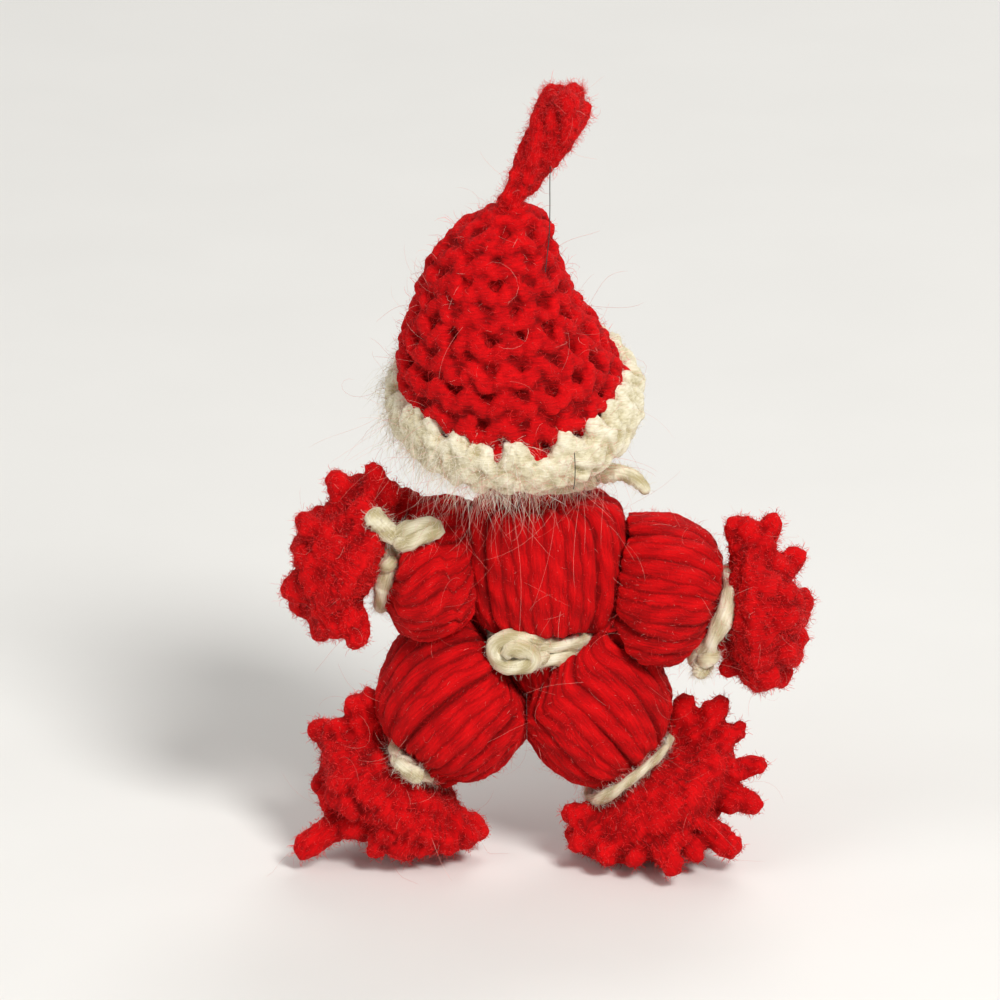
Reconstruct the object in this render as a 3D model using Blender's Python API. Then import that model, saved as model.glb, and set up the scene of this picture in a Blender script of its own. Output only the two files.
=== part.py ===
# A small doll made of tied yarn: a torso hank, an arm hank and two leg puffs drawn in by cream ties,
# cut tassels for hands and feet, and a wound head under a crocheted cap with a tail.
# Metres, +Z up. The doll's back looks along -Y, its face along +Y, and its soles stand at Z = 0.
import math
import random

import bmesh
import bpy
from mathutils import Matrix, Vector

# Driving sizes
GAP = 0.0003
OVERRUN = 0.002

TIE_DIA = 0.0026
TIE_SPACE = 0.0005
WAIST_TURNS = 2
KNOT_HALF_LENGTH = 0.0036
KNOT_HALF_HEIGHT = 0.0019
KNOT_HALF_DEPTH = 0.0019
TIE_END_DIA = 0.0019
TIE_END_LENGTH = 0.0035
WAIST_END_LENGTH = 0.0062
WRIST_LEFT_END_LENGTH = 0.0040
NECK_END_LENGTH = 0.0095
# Where each knot sits round its tie
WAIST_KNOT = math.radians(-118)
ANKLE_RIGHT_KNOT = math.radians(-160)
ANKLE_LEFT_KNOT = math.radians(-75)
WRIST_RIGHT_KNOT = math.radians(-150)
WRIST_LEFT_KNOT = math.radians(-140)
NECK_KNOT = math.radians(-12)

HIP_HEIGHT = 0.0310
TORSO_HALF_WIDTH = 0.0120
TORSO_HALF_DEPTH = 0.0096
WAIST_HALF_WIDTH = 0.0063
WAIST_HALF_DEPTH = 0.0049
ARM_HUB_ABOVE_HIPS = 0.0122
ARM_HUB_HEIGHT = HIP_HEIGHT + ARM_HUB_ABOVE_HIPS
SHOULDER_ABOVE_HUB = 0.0121
SHOULDER_HEIGHT = ARM_HUB_HEIGHT + SHOULDER_ABOVE_HUB
NECK_ABOVE_SHOULDER = 0.0037
NECK_HEIGHT = SHOULDER_HEIGHT + NECK_ABOVE_SHOULDER
NECK_RADIUS = 0.0046
RIDGE_DEPTH = 0.0007

ARM_HUB_RADIUS = 0.0055
ARM_HUB_X = 0.0105
ARM_RADIUS = 0.0118
ARM_LEFT_RADIUS = 0.0098
WRIST_RADIUS = 0.0056
WRIST_RIGHT_X = 0.0250
WRIST_RIGHT_BELOW_HUB = 0.0068
WRIST_RIGHT = Vector((WRIST_RIGHT_X, 0.0, ARM_HUB_HEIGHT - WRIST_RIGHT_BELOW_HUB))
WRIST_LEFT_X = 0.0232
WRIST_LEFT_BELOW_HUB = 0.0019
WRIST_LEFT = Vector((-WRIST_LEFT_X, 0.0, ARM_HUB_HEIGHT - WRIST_LEFT_BELOW_HUB))
ARM_RIGHT_SLOPE = math.radians(-19)
ARM_LEFT_SLOPE = math.radians(169)

LEG_TOP_RADIUS = 0.0060
LEG_RIGHT_TOP_X = 0.0030
LEG_LEFT_TOP_X = -0.0075
LEG_RADIUS = 0.0108
ANKLE_RADIUS = 0.0069
ANKLE_RIGHT = Vector((0.0121, 0.0, 0.0138))
ANKLE_LEFT = Vector((-0.0181, 0.0, 0.0148))
LEG_RIGHT_SLOPE = math.radians(-53)
LEG_LEFT_SLOPE = math.radians(232)
LEG_SPLAY = math.radians(22)
LEG_PARTING_X = -0.0026

HAND_RADIUS = 0.0112
HAND_LENGTH = 0.0112
HAND_LEFT_RADIUS = 0.0120
HAND_LEFT_LENGTH = 0.0132
HAND_RIGHT_SLOPE = math.radians(-9)
HAND_LEFT_SLOPE = math.radians(159)
FOOT_RADIUS = 0.0141
FOOT_LENGTH = 0.0141
TUFT_LENGTH = 0.0030
LONG_TUFT_LENGTH = 0.0055
SOLE_CUT = 0.0005
SLUMP_HEIGHT = 0.0050

HEAD_RADIUS = 0.0132
HEAD_FROM_NECK = Vector((-0.0036, 0.0, 0.0114))
HEAD_CENTRE = Vector((0.0, 0.0, NECK_HEIGHT)) + HEAD_FROM_NECK
EYE_RADIUS = 0.0011
EYE_SPREAD = math.radians(19)
EYE_RISE = math.radians(2)

BRIM_FROM_HEAD = Vector((-0.0009, 0.0, 0.0007))
BRIM_CENTRE = HEAD_CENTRE + BRIM_FROM_HEAD
BRIM_TILT = math.radians(23)
HAT_RADIUS = 0.0166
HAT_WALL = 0.0026
HAT_TIP_FROM_BRIM = Vector((-0.0005, -0.0050, 0.0307))
HAT_TIP = BRIM_CENTRE + HAT_TIP_FROM_BRIM
LEAN_LOW_FROM_BRIM = Vector((-0.0020, -0.0045, 0.0099))
HAT_LEAN_LOW = BRIM_CENTRE + LEAN_LOW_FROM_BRIM
LEAN_HIGH_FROM_BRIM = Vector((-0.0070, -0.0060, 0.0214))
HAT_LEAN_HIGH = BRIM_CENTRE + LEAN_HIGH_FROM_BRIM
HAT_ROWS = 9
HAT_ROW_BULGE = 0.0005
TRIM_HALF_HEIGHT = 0.0024
TRIM_OUT = 0.0018
TRIM_TEETH = 24

TAIL_ROOT_RADIUS = 0.0015
TAIL_TOP_RADIUS = 0.0035
TAIL_LEAN = math.radians(52)
TAIL_TIP_FROM_ROOT = Vector((0.0080, -0.0010, 0.0196))
TAIL_TIP = HAT_TIP + TAIL_TIP_FROM_ROOT

# Joint ranges, which also set how far the pieces are cut back for each other
WRIST_BEND = math.radians(10)
ANKLE_BEND = math.radians(10)
ARM_RIGHT_RAISE = math.radians(25)
ARM_LEFT_RAISE = math.radians(12)
LEG_SWING = math.radians(25)

# Counts
STRANDS = 14
RIDGE_STEPS = 3
TASSEL_SIDES = 12
TIE_POINTS = 14
HAT_SIDES = 26
CLEAR_SIDES = 18
SWEEP_STEPS = 3
END_STEPS = 5
STRAND_SEEDS = {"foot_right": 11, "foot_left": 5, "hand_right": 23, "hand_left": 31}

# Radius of a swollen bundle between its tied ends, as a power of the sine of its length share
SWELL_POWER_SHARE = 0.62
BUNDLE_STATION_SHARES = (0.08, 0.22, 0.42, 0.62, 0.8, 0.93)
# Part of the knot's length over which the tie under it stays open, or climbs to its next turn
KNOT_OPEN_SHARE = 1.3
KNOT_CLIMB_SHARE = 2.0
# How far the knot's three lobes stand out, and how much of its width a loose end loses to its tip
KNOT_LOBE_SHARE = 0.12
END_TAPER_SHARE = 0.35
# Torso above the waist tie: height share, half-width share
TORSO_SHARES = (
    (0.00, 0.53), (0.05, 0.76), (0.17, 0.91), (0.38, 1.00), (0.62, 1.00), (0.80, 0.95),
    (0.93, 0.84), (1.00, 0.70), (0.98, 0.58), (0.93, 0.47),
)
# Hat from brim to tip: height share, radius share
HAT_SHARES = (
    (0.00, 1.00), (0.28, 0.87), (0.53, 0.67), (0.73, 0.54), (0.91, 0.38), (1.00, 0.13),
)
# Tassel from its tied side to its tip: length share, radius share
TASSEL_SHARES = (
    (0.17, 0.0), (0.17, 0.48), (0.27, 0.76), (0.22, 0.93), (0.42, 1.0), (0.66, 0.94),
    (0.86, 0.72), (0.97, 0.40), (1.0, 0.0),
)
# A tassel's faces draw out into strands outside this share of its radius. Each leans this much out and along
TUFT_INSIDE_SHARE = 0.55
TUFT_OUT_SHARE = 0.8
TUFT_ALONG_SHARE = 0.45
TUFT_LENGTH_SHARES = (0.7, 1.25)
# The strand's steps: length share, and the width share that each step keeps
TUFT_STEP_SHARES = ((0.4, 0.84), (0.6, 0.76))
# Tail from its root to its tip: length share, radius share
TAIL_SHARES = ((0.0, 0.43), (0.12, 0.56), (0.3, 0.75), (0.5, 0.91), (0.68, 1.0), (0.84, 1.0), (0.95, 0.7))
# Trim section round the brim: outward share of the wall and band, height share of the band
TRIM_SHARES = ((0.04, -0.7), (0.30, -1.0), (0.72, -1.0), (0.98, -0.5), (1.0, 0.3))
# Share of the hat's height to which the trim's notches and points reach
TRIM_NOTCH_SHARE = 0.05
TRIM_POINT_SHARE = 0.17

X = Vector((1, 0, 0))
Y = Vector((0, 1, 0))
Z = Vector((0, 0, 1))

RED = (0.62, 0.006, 0.012)
CREAM = (0.78, 0.70, 0.52)
BLACK = (0.01, 0.01, 0.01)


def clear_scene():
    for old in list(bpy.data.objects):
        bpy.data.objects.remove(old, do_unlink=True)


def new_collection(name):
    made = bpy.data.collections.new(name)
    bpy.context.scene.collection.children.link(made)
    return made


def new_material(name, colour, roughness):
    made = bpy.data.materials.new(name)
    made.use_nodes = True
    shader = made.node_tree.nodes["Principled BSDF"]
    shader.inputs["Base Color"].default_value = (*colour, 1.0)
    shader.inputs["Roughness"].default_value = roughness
    shader.inputs["Metallic"].default_value = 0.0
    return made


def new_pivot(name, at, parent=None):
    """An empty on a joint's axis; whatever it carries is placed from it."""
    made = bpy.data.objects.new(name, None)
    doll.objects.link(made)
    made.parent = parent
    made.location = at - (world_place(parent) if parent else Vector())
    return made


def world_place(obj):
    place = Vector()
    while obj:
        place += obj.location
        obj = obj.parent
    return place


def finish_piece(obj, colour, roughness, pivot=None):
    """Give a piece its own material and hang it on its pivot, where it already lies."""
    obj.data.materials.append(new_material(obj.name + "_yarn", colour, roughness))
    doll.objects.link(obj)
    if pivot:
        obj.data.transform(Matrix.Translation(-world_place(pivot)))
        obj.parent = pivot
    return obj


def finish_cutter(obj):
    cutters.objects.link(obj)
    obj.hide_render = True
    obj.display_type = "WIRE"
    return obj


def face_outwards(bm):
    bmesh.ops.recalc_face_normals(bm, faces=bm.faces)
    if bm.calc_volume(signed=True) < 0:
        bmesh.ops.reverse_faces(bm, faces=bm.faces)


def mesh_object(name, bm):
    face_outwards(bm)
    mesh = bpy.data.meshes.new(name)
    bm.to_mesh(mesh)
    bm.free()
    mesh.shade_smooth()
    return bpy.data.objects.new(name, mesh)


def combine(obj, tool, operation="DIFFERENCE", solver="EXACT"):
    step = obj.modifiers.new(tool.name, "BOOLEAN")
    step.operation = operation
    step.object = tool
    step.solver = solver


def carve(obj, tool, operation="DIFFERENCE"):
    """The same for pieces with many grazing cuts, which the exact solver tears."""
    combine(obj, tool, operation, "MANIFOLD")


def turned_copy(tool, name, pivot, axis, angle):
    """A cutter's copy, turned about a joint, for where its piece stands in another pose."""
    made = finish_cutter(bpy.data.objects.new(name, tool.data))
    turn = Matrix.Rotation(angle, 4, axis)
    made.matrix_world = Matrix.Translation(pivot) @ turn @ Matrix.Translation(-pivot)
    return made


def bezier(points, share):
    a, b, c, d = points
    rest = 1 - share
    return a * rest**3 + b * 3 * rest**2 * share + c * 3 * rest * share**2 + d * share**3


def bezier_run(points, share):
    a, b, c, d = points
    rest = 1 - share
    return ((b - a) * rest**2 + (c - b) * 2 * rest * share + (d - c) * share**2).normalized()


def smooth_share(table, share):
    """Read a table of shares on a smooth curve through its rows."""
    rows = [table[0], *table, table[-1]]
    for (s0, r0), (s1, r1), (s2, r2), (s3, r3) in zip(rows, rows[1:], rows[2:], rows[3:]):
        if s1 <= share <= s2 and s2 > s1:
            part = (share - s1) / (s2 - s1)
            rest = 1 - part
            lead = (r2 - r0) / (s2 - s0) * (s2 - s1)
            trail = (r3 - r1) / (s3 - s1) * (s2 - s1)
            mixed = r1 * rest**2 * (3 - 2 * rest) + r2 * part**2 * (3 - 2 * part)
            return mixed + lead * part * rest**2 - trail * rest * part**2
    return table[-1][1]


def ring(centre, across, along, half_across, half_along, ridged=0.0):
    """One ring of a lofted form: an ellipse, drawn in between the strands by the ridged share."""

    def point(turn, ridge):
        drawn_in = RIDGE_DEPTH * ridged * ridge
        return (
            centre
            + across * (max(half_across - drawn_in, 0) * math.cos(turn))
            + along * (max(half_along - drawn_in, 0) * math.sin(turn))
        )

    return point


def lofted_form(name, rings, sides, plain=False):
    """A closed form through rings, pole to pole, with a groove at each third side unless it is plain."""
    bm = bmesh.new()
    bmesh.ops.create_uvsphere(bm, u_segments=sides, v_segments=len(rings) - 1, radius=1)
    for vert in bm.verts:
        index = round(math.acos(max(-1, min(1, vert.co.z))) / math.pi * (len(rings) - 1))
        turn = math.atan2(vert.co.y, vert.co.x)
        side = round(turn / math.tau * sides)
        vert.co = rings[index](turn, 0.0 if plain or side % RIDGE_STEPS else 1.0)
    return mesh_object(name, bm)


def ball_rings(centre, axis, across, along, radii, from_pole, steps=3):
    """The rings of a half ball, ellipsoid in three radii, from its pole or towards it."""
    rings = []
    for step in range(steps):
        angle = step / steps * math.pi / 2
        reach, width = math.cos(angle), math.sin(angle)
        middle = centre + axis * (radii[2] * reach)
        rings.append(ring(middle, across, along, radii[0] * width, radii[1] * width))
    return rings if from_pole else rings[::-1]


def torso_rings(grow=0.0, over_tie=False):
    """Hip end, waist, swollen hank, dished shoulder and neck end. With over_tie, the waist's tie counts too."""
    hip = Z * HIP_HEIGHT
    waist_x, waist_y = WAIST_HALF_WIDTH + grow, WAIST_HALF_DEPTH + grow
    rings = ball_rings(hip, -Z, X, Y, (waist_x, waist_y, waist_y), True)
    rings.append(ring(hip, X, Y, waist_x, waist_y))
    tie_reach = tie_half_height(WAIST_TURNS) + grow
    tie_low, tie_high = waist_tie_height - tie_reach, waist_tie_height + tie_reach
    if over_tie:
        bulk = TIE_DIA + GAP
        knot_bulk = GAP + 2 * KNOT_HALF_DEPTH
        rings.append(ring(Z * tie_low, X, Y, waist_x + bulk, waist_y + knot_bulk))
        rings.append(ring(Z * tie_high, X, Y, waist_x + bulk, waist_y + knot_bulk))
    else:
        rings.append(ring(Z * waist_tie_height, X, Y, waist_x, waist_y))
    low = waist_tie_height + tie_half_height(WAIST_TURNS) + GAP
    for height, width in TORSO_SHARES:
        round_off = max(0.0, (height - 0.5) * 2) * (1 - width)
        half_width = TORSO_HALF_WIDTH * width + grow
        full_depth = TORSO_HALF_DEPTH + (TORSO_HALF_WIDTH - TORSO_HALF_DEPTH) * round_off
        half_depth = full_depth * width + grow
        place = low + (SHOULDER_HEIGHT + grow - low) * height
        rings.append(ring(Z * place, X, Y, half_width, half_depth, 1.0 if 0.02 < height else 0.3))
    neck = Z * NECK_HEIGHT
    dish = low + (SHOULDER_HEIGHT - low) * TORSO_SHARES[-1][0] - RIDGE_DEPTH
    rings.append(ring(Z * dish, X, Y, NECK_RADIUS + grow, NECK_RADIUS + grow))
    rings.append(ring(neck, X, Y, NECK_RADIUS + grow, NECK_RADIUS + grow))
    rings += ball_rings(neck, Z, X, Y, (NECK_RADIUS + grow,) * 3, False)
    return rings


def limb_rings(start, start_run, end, end_run, radii, grow=0.0):
    """A bundle that swells between its root and its tie, with a ball at each end for its joints."""
    root, full, tied = (radius + grow for radius in radii)
    length = (end - start).length
    path = (start, start + start_run * length / 3, end - end_run * length / 3, end)
    groove = (KNOT_HALF_HEIGHT + 3 * GAP) / length
    start_side, end_side = start_run.cross(Y), end_run.cross(Y)
    rings = ball_rings(start, -start_run, start_side, Y, (root,) * 3, True)
    for share in BUNDLE_STATION_SHARES:
        swell = math.sin(math.pi * share) ** SWELL_POWER_SHARE
        radius = root + (tied - root) * share + (full - (root + tied) / 2) * swell
        run = bezier_run(path, share * (1 - groove))
        centre = bezier(path, share * (1 - groove))
        rings.append(ring(centre, run.cross(Y), Y, radius, radius, min(1.0, 2 * swell - 1)))
    centre = bezier(path, 1 - groove)
    rings.append(ring(centre, end_side, Y, tied, tied))
    rings.append(ring(end, end_side, Y, tied, tied))
    rings += ball_rings(end, end_run, end_side, Y, (tied,) * 3, False)
    return rings


def tie_half_height(turns):
    return TIE_DIA / 2 + (turns - 1) * (TIE_DIA + TIE_SPACE) / 2


def tie_form(name, centre, axis, half_across, half_along, turns, knot_at, ends):
    """A tie: one unbroken yarn wound turns times round a groove, knotted where it climbs, with its loose ends."""
    across, along = axis.cross(Y).normalized() if abs(axis.z) < 0.99 else X, Y
    reach_x, reach_y = half_across + GAP + TIE_DIA / 2, half_along + GAP + TIE_DIA / 2
    pitch = TIE_DIA + TIE_SPACE
    open_share = KNOT_OPEN_SHARE if turns == 1 else KNOT_CLIMB_SHARE
    climb = KNOT_HALF_LENGTH * open_share / (math.pi * (reach_x + reach_y))
    count = round(TIE_POINTS * turns)

    def point(turned):
        lap = min(int(turned), turns - 1)
        rise = max(0.0, (turned - lap - (1 - climb)) / climb) if lap < turns - 1 else 0.0
        height = (lap - (turns - 1) / 2 + rise * rise * (3 - 2 * rise)) * pitch
        angle = knot_at + (turned + climb / 2) * math.tau
        out = across * (reach_x * math.cos(angle)) + along * (reach_y * math.sin(angle))
        return centre + out + axis * height

    last = turns - climb
    route = [point(last * step / count) for step in range(count + 1)]
    gaps = [
        (a - b).length - TIE_DIA
        for i, a in enumerate(route)
        for b in route[i + TIE_POINTS // 3:]
    ]
    print(name, "least gap to itself, mm:", round(min(gaps) * 1000, 2))
    tube = tube_mesh(name, route, [TIE_DIA / 2] * len(route))

    out = across * math.cos(knot_at) + along * math.sin(knot_at)
    side = axis.cross(out).normalized()
    middle = across * (reach_x * math.cos(knot_at)) + along * (reach_y * math.sin(knot_at))
    middle += centre + out * (KNOT_HALF_DEPTH - TIE_DIA / 2)
    tall = max(KNOT_HALF_HEIGHT, tie_half_height(turns))
    bm = bmesh.new()
    bmesh.ops.create_uvsphere(bm, u_segments=12, v_segments=8, radius=1)
    for vert in bm.verts:
        lobe = 1 + KNOT_LOBE_SHARE * math.cos(3 * math.atan2(vert.co.z, vert.co.x))
        vert.co = (
            middle
            + side * (vert.co.x * KNOT_HALF_LENGTH * (1 + KNOT_LOBE_SHARE) * lobe)
            + out * (vert.co.y * KNOT_HALF_DEPTH)
            + axis * (vert.co.z * tall * lobe / (1 + KNOT_LOBE_SHARE))
        )
    combine(tube, finish_cutter(mesh_object(name + "_knot", bm)), "UNION")
    for number, (heading, length) in enumerate(ends):
        tip = middle + heading.normalized() * length
        droop = (middle, middle + out * length / 3, tip + (middle - tip) / 3, tip)
        shares = [step / END_STEPS for step in range(END_STEPS + 1)]
        radii = [TIE_END_DIA / 2 * (1 - END_TAPER_SHARE * share) for share in shares]
        loose = tube_mesh(f"{name}_end_{number}", [bezier(droop, share) for share in shares], radii)
        combine(tube, finish_cutter(loose), "UNION")
    return tube


def tube_mesh(name, route, radii):
    """A round yarn along a route, made a closed mesh so that it can be joined."""
    curve = bpy.data.curves.new(name + "_line", "CURVE")
    curve.dimensions = "3D"
    curve.bevel_depth = 1.0
    curve.bevel_resolution = 1
    curve.use_fill_caps = True
    spline = curve.splines.new("POLY")
    spline.points.add(len(route) - 1)
    for point, place, radius in zip(spline.points, route, radii):
        point.co = (*place, 1.0)
        point.radius = radius
    line = bpy.data.objects.new(name + "_line", curve)
    cutters.objects.link(line)
    bpy.context.view_layer.update()
    mesh = bpy.data.meshes.new_from_object(line.evaluated_get(bpy.context.evaluated_depsgraph_get()))
    bpy.data.objects.remove(line, do_unlink=True)
    bpy.data.curves.remove(curve)
    bm = bmesh.new()
    bm.from_mesh(mesh)
    bpy.data.meshes.remove(mesh)
    bmesh.ops.remove_doubles(bm, verts=bm.verts, dist=GAP / 100)
    return mesh_object(name, bm)


def ball_form(name, centre, radius, sides=20, rings=14):
    bm = bmesh.new()
    bmesh.ops.create_uvsphere(bm, u_segments=sides, v_segments=rings, radius=radius)
    bmesh.ops.translate(bm, verts=bm.verts, vec=centre)
    return mesh_object(name, bm)


def block_form(name, low, high):
    bm = bmesh.new()
    bmesh.ops.create_cube(bm, size=1)
    size = high - low
    bmesh.ops.scale(bm, verts=bm.verts, vec=size)
    bmesh.ops.translate(bm, verts=bm.verts, vec=(low + high) / 2)
    return mesh_object(name, bm)


def rod_form(name, low, high, radius, sides=24):
    """A plain round rod between two points."""
    run = high - low
    bm = bmesh.new()
    bmesh.ops.create_cone(
        bm, cap_ends=True, segments=sides, radius1=radius, radius2=radius, depth=run.length
    )
    bmesh.ops.rotate(bm, verts=bm.verts, matrix=Z.rotation_difference(run.normalized()).to_matrix())
    bmesh.ops.translate(bm, verts=bm.verts, vec=(low + high) / 2)
    return mesh_object(name, bm)


def tassel_form(name, joint, run, length, radius, seed, stands=False, long_towards=None):
    """Cut strand ends fanned out past a tie: a flared dome with every other face drawn out as a strand."""
    draw = random.Random(seed)
    side = run.cross(Y)
    rings = [
        ring(joint + run * (length * along), side, Y, radius * out, radius * out)
        for along, out in TASSEL_SHARES
    ]
    form = lofted_form(name, rings, TASSEL_SIDES)
    bm = bmesh.new()
    bm.from_mesh(form.data)
    bm.normal_update()
    bm.faces.ensure_lookup_table()
    rows = {}
    for face in bm.faces:
        if len(face.verts) == 4:
            middle = face.calc_center_median() - joint
            along = middle.dot(run)
            turn = math.atan2(middle.dot(Y), middle.dot(side)) / math.tau * TASSEL_SIDES
            row = sum(along > share * length for share, _ in TASSEL_SHARES[3:-1])
            outside = (middle - run * along).length > radius * TUFT_INSIDE_SHARE
            if outside and face.normal.dot(run) > 0 and row:
                rows.setdefault(row, []).append((turn % TASSEL_SIDES, face))
    chosen = [
        face for row, found in sorted(rows.items())
        for turn, face in sorted(found, key=lambda item: item[0])
        if (int(turn) + row) % 2 == 0
    ]
    longest = None
    if long_towards:
        longest = max(chosen, key=lambda face: (face.calc_center_median() - joint).dot(long_towards))
    for face in chosen:
        heading = (face.normal * TUFT_OUT_SHARE + run * TUFT_ALONG_SHARE).normalized()
        tuft = TUFT_LENGTH * draw.uniform(*TUFT_LENGTH_SHARES)
        if face == longest:
            heading = (heading + long_towards).normalized()
            tuft = LONG_TUFT_LENGTH
        for part, keep in TUFT_STEP_SHARES:
            face = bmesh.ops.extrude_discrete_faces(bm, faces=[face])["faces"][0]
            middle = face.calc_center_median()
            for vert in face.verts:
                vert.co = middle + (vert.co - middle) * keep + heading * (tuft * part)
    if stands:
        slump(bm)
    face_outwards(bm)
    bm.to_mesh(form.data)
    bm.free()
    form.data.shade_smooth()
    return form


def tie_room(name, joint, run, tied_radius, bend):
    """What a tie and its knot need clear in the tassel past them, while the tassel bends by so much."""
    side = run.cross(Y)
    outer = tied_radius + GAP + 2 * KNOT_HALF_DEPTH + GAP
    near = KNOT_HALF_HEIGHT + GAP
    slant = math.tan(bend)
    profile = (
        (-outer, 0), (-outer, outer),
        (near + outer * slant, outer), (near + tied_radius * slant, tied_radius), (near, 0),
    )
    rings = [ring(joint + run * along, side, Y, out, out) for along, out in profile]
    return finish_cutter(lofted_form(name, rings, CLEAR_SIDES, plain=True))


def slump(bm):
    """Press the low strands together by height, so that they end just under the table, where they are cut."""
    lowest = min(vert.co.z for vert in bm.verts)
    squeeze = (SLUMP_HEIGHT + SOLE_CUT) / (SLUMP_HEIGHT - lowest)
    for vert in bm.verts:
        if vert.co.z < SLUMP_HEIGHT:
            vert.co.z = SLUMP_HEIGHT - (SLUMP_HEIGHT - vert.co.z) * squeeze


def hat_ring_frame(share):
    """Centre, side and depth direction of the hat at a height share, from the tilted brim to the tip."""
    path = (BRIM_CENTRE, HAT_LEAN_LOW, HAT_LEAN_HIGH, HAT_TIP)
    tilt = BRIM_TILT * (1 - share) ** 1.5
    return bezier(path, share), X, Vector((0, math.cos(tilt), math.sin(tilt)))


def hat_rings():
    rings = []
    outer, inner = [], []
    steps = HAT_ROWS * 2
    first = (GAP + HAT_ROW_BULGE) / (HAT_TIP - BRIM_CENTRE).length
    for step in range(steps + 1):
        share = first + (1 - first) * step / steps
        centre, across, along = hat_ring_frame(share)
        radius = HAT_RADIUS * smooth_share(HAT_SHARES, share)
        bulge = HAT_ROW_BULGE if step % 2 else -HAT_ROW_BULGE
        outer.append(ring(centre, across, along, radius + bulge, radius + bulge))
        if radius > HAT_WALL * 1.6 and step % 2 == 0:
            inner.append(ring(centre, across, along, radius - HAT_WALL, radius - HAT_WALL))
            crown = centre, across, along
    tip = hat_ring_frame(1.0)
    rings.append(ring(tip[0] + Z * HAT_ROW_BULGE, tip[1], tip[2], 0, 0))
    rings += outer[::-1] + inner
    rings.append(ring(crown[0] + Z * HAT_WALL / 2, crown[1], crown[2], 0, 0))
    return rings


def trim_form():
    """The crocheted edge: a band under the hat's last row with points that lie up its outside."""
    sides = TRIM_TEETH * 2
    inner, outer = HAT_RADIUS - HAT_WALL, HAT_RADIUS + TRIM_OUT
    clear = HAT_ROW_BULGE + GAP
    top = TRIM_HALF_HEIGHT / 2
    band = [(inner + (outer - inner) * out, TRIM_HALF_HEIGHT * up) for out, up in TRIM_SHARES]
    lip = [(HAT_RADIUS + clear, top), (inner + GAP, top)]
    centre, across, along = hat_ring_frame(0.0)
    normal = across.cross(along)
    centre = centre - normal * (top + GAP)
    bm = bmesh.new()
    loops = []
    for side in range(sides):
        turn = side / sides * math.tau
        out = across * math.cos(turn) + along * math.sin(turn)
        reach = TRIM_POINT_SHARE if side % 2 else TRIM_NOTCH_SHARE
        middle, hat_across, hat_along = hat_ring_frame(reach)
        hat_out = hat_across * math.cos(turn) + hat_along * math.sin(turn)
        wall = HAT_RADIUS * smooth_share(HAT_SHARES, reach) + clear
        points = [centre + out * far + normal * up for far, up in band]
        points += [middle + hat_out * (wall + TRIM_OUT - clear), middle + hat_out * (wall + GAP)]
        points += [centre + out * far + normal * up for far, up in lip]
        loops.append([bm.verts.new(point) for point in points])
    for now, then in zip(loops, loops[1:] + loops[:1]):
        for here, there in zip(range(len(now)), [*range(1, len(now)), 0]):
            bm.faces.new((now[here], then[here], then[there], now[there]))
    return mesh_object("hat_trim", bm)


def tail_rings(root, run):
    """A loose yarn tail that widens to a fluffed end."""
    length = (TAIL_TIP - root).length
    path = (root, root + run * length / 3, TAIL_TIP - Z * length / 3, TAIL_TIP)
    rings = ball_rings(root, -run, run.cross(Y), Y, (TAIL_ROOT_RADIUS,) * 3, True)
    for share, width in TAIL_SHARES:
        heading = bezier_run(path, share)
        radius = TAIL_TOP_RADIUS * width
        rings.append(ring(bezier(path, share), heading.cross(Y), Y, radius, radius, 1.0))
    rings.append(ring(TAIL_TIP, X, Y, 0, 0))
    return rings


def slope_run(angle):
    return Vector((math.cos(angle), 0, math.sin(angle)))


clear_scene()
doll = new_collection("yarn_doll")
cutters = new_collection("cutters")
sides = STRANDS * RIDGE_STEPS
waist_tie_height = HIP_HEIGHT + tie_half_height(WAIST_TURNS) + 2 * GAP

# Pivots on the joints' axes
hips = Z * HIP_HEIGHT
neck = Z * NECK_HEIGHT
arm_hubs = {"right": Vector((ARM_HUB_X, 0, ARM_HUB_HEIGHT)), "left": Vector((-ARM_HUB_X, 0, ARM_HUB_HEIGHT))}
neck_pivot = new_pivot("neck_pivot", neck)
head_pivot = new_pivot("head_pivot", neck, neck_pivot)

# Forms that the torso needs clear round it, also in the other poses
torso_clear = finish_cutter(lofted_form(
    "torso_clear", torso_rings(2 * GAP, over_tie=True), CLEAR_SIDES, plain=True))

# Torso with the tunnel for the arm hank
torso = lofted_form("torso_hank", torso_rings(), sides)
tunnel_end = X * (TORSO_HALF_WIDTH + OVERRUN)
hub_height = Z * ARM_HUB_HEIGHT
combine(torso, finish_cutter(rod_form(
    "arm_tunnel", hub_height - tunnel_end, hub_height + tunnel_end, ARM_HUB_RADIUS + GAP)))
finish_piece(torso, RED, 0.9)

core_end = X * (ARM_HUB_X - ARM_HUB_RADIUS - GAP)
arm_core = rod_form("arm_hank_core", hub_height - core_end, hub_height + core_end, ARM_HUB_RADIUS)
finish_piece(arm_core, RED, 0.9)

finish_piece(tie_form(
    "waist_tie", Z * waist_tie_height, Z, WAIST_HALF_WIDTH, WAIST_HALF_DEPTH, WAIST_TURNS, WAIST_KNOT,
    [(-X - Y * 0.4 + Z * 0.15, WAIST_END_LENGTH), (X * 0.5 - Y - Z * 0.6, TIE_END_LENGTH)],
), CREAM, 0.95)

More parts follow.
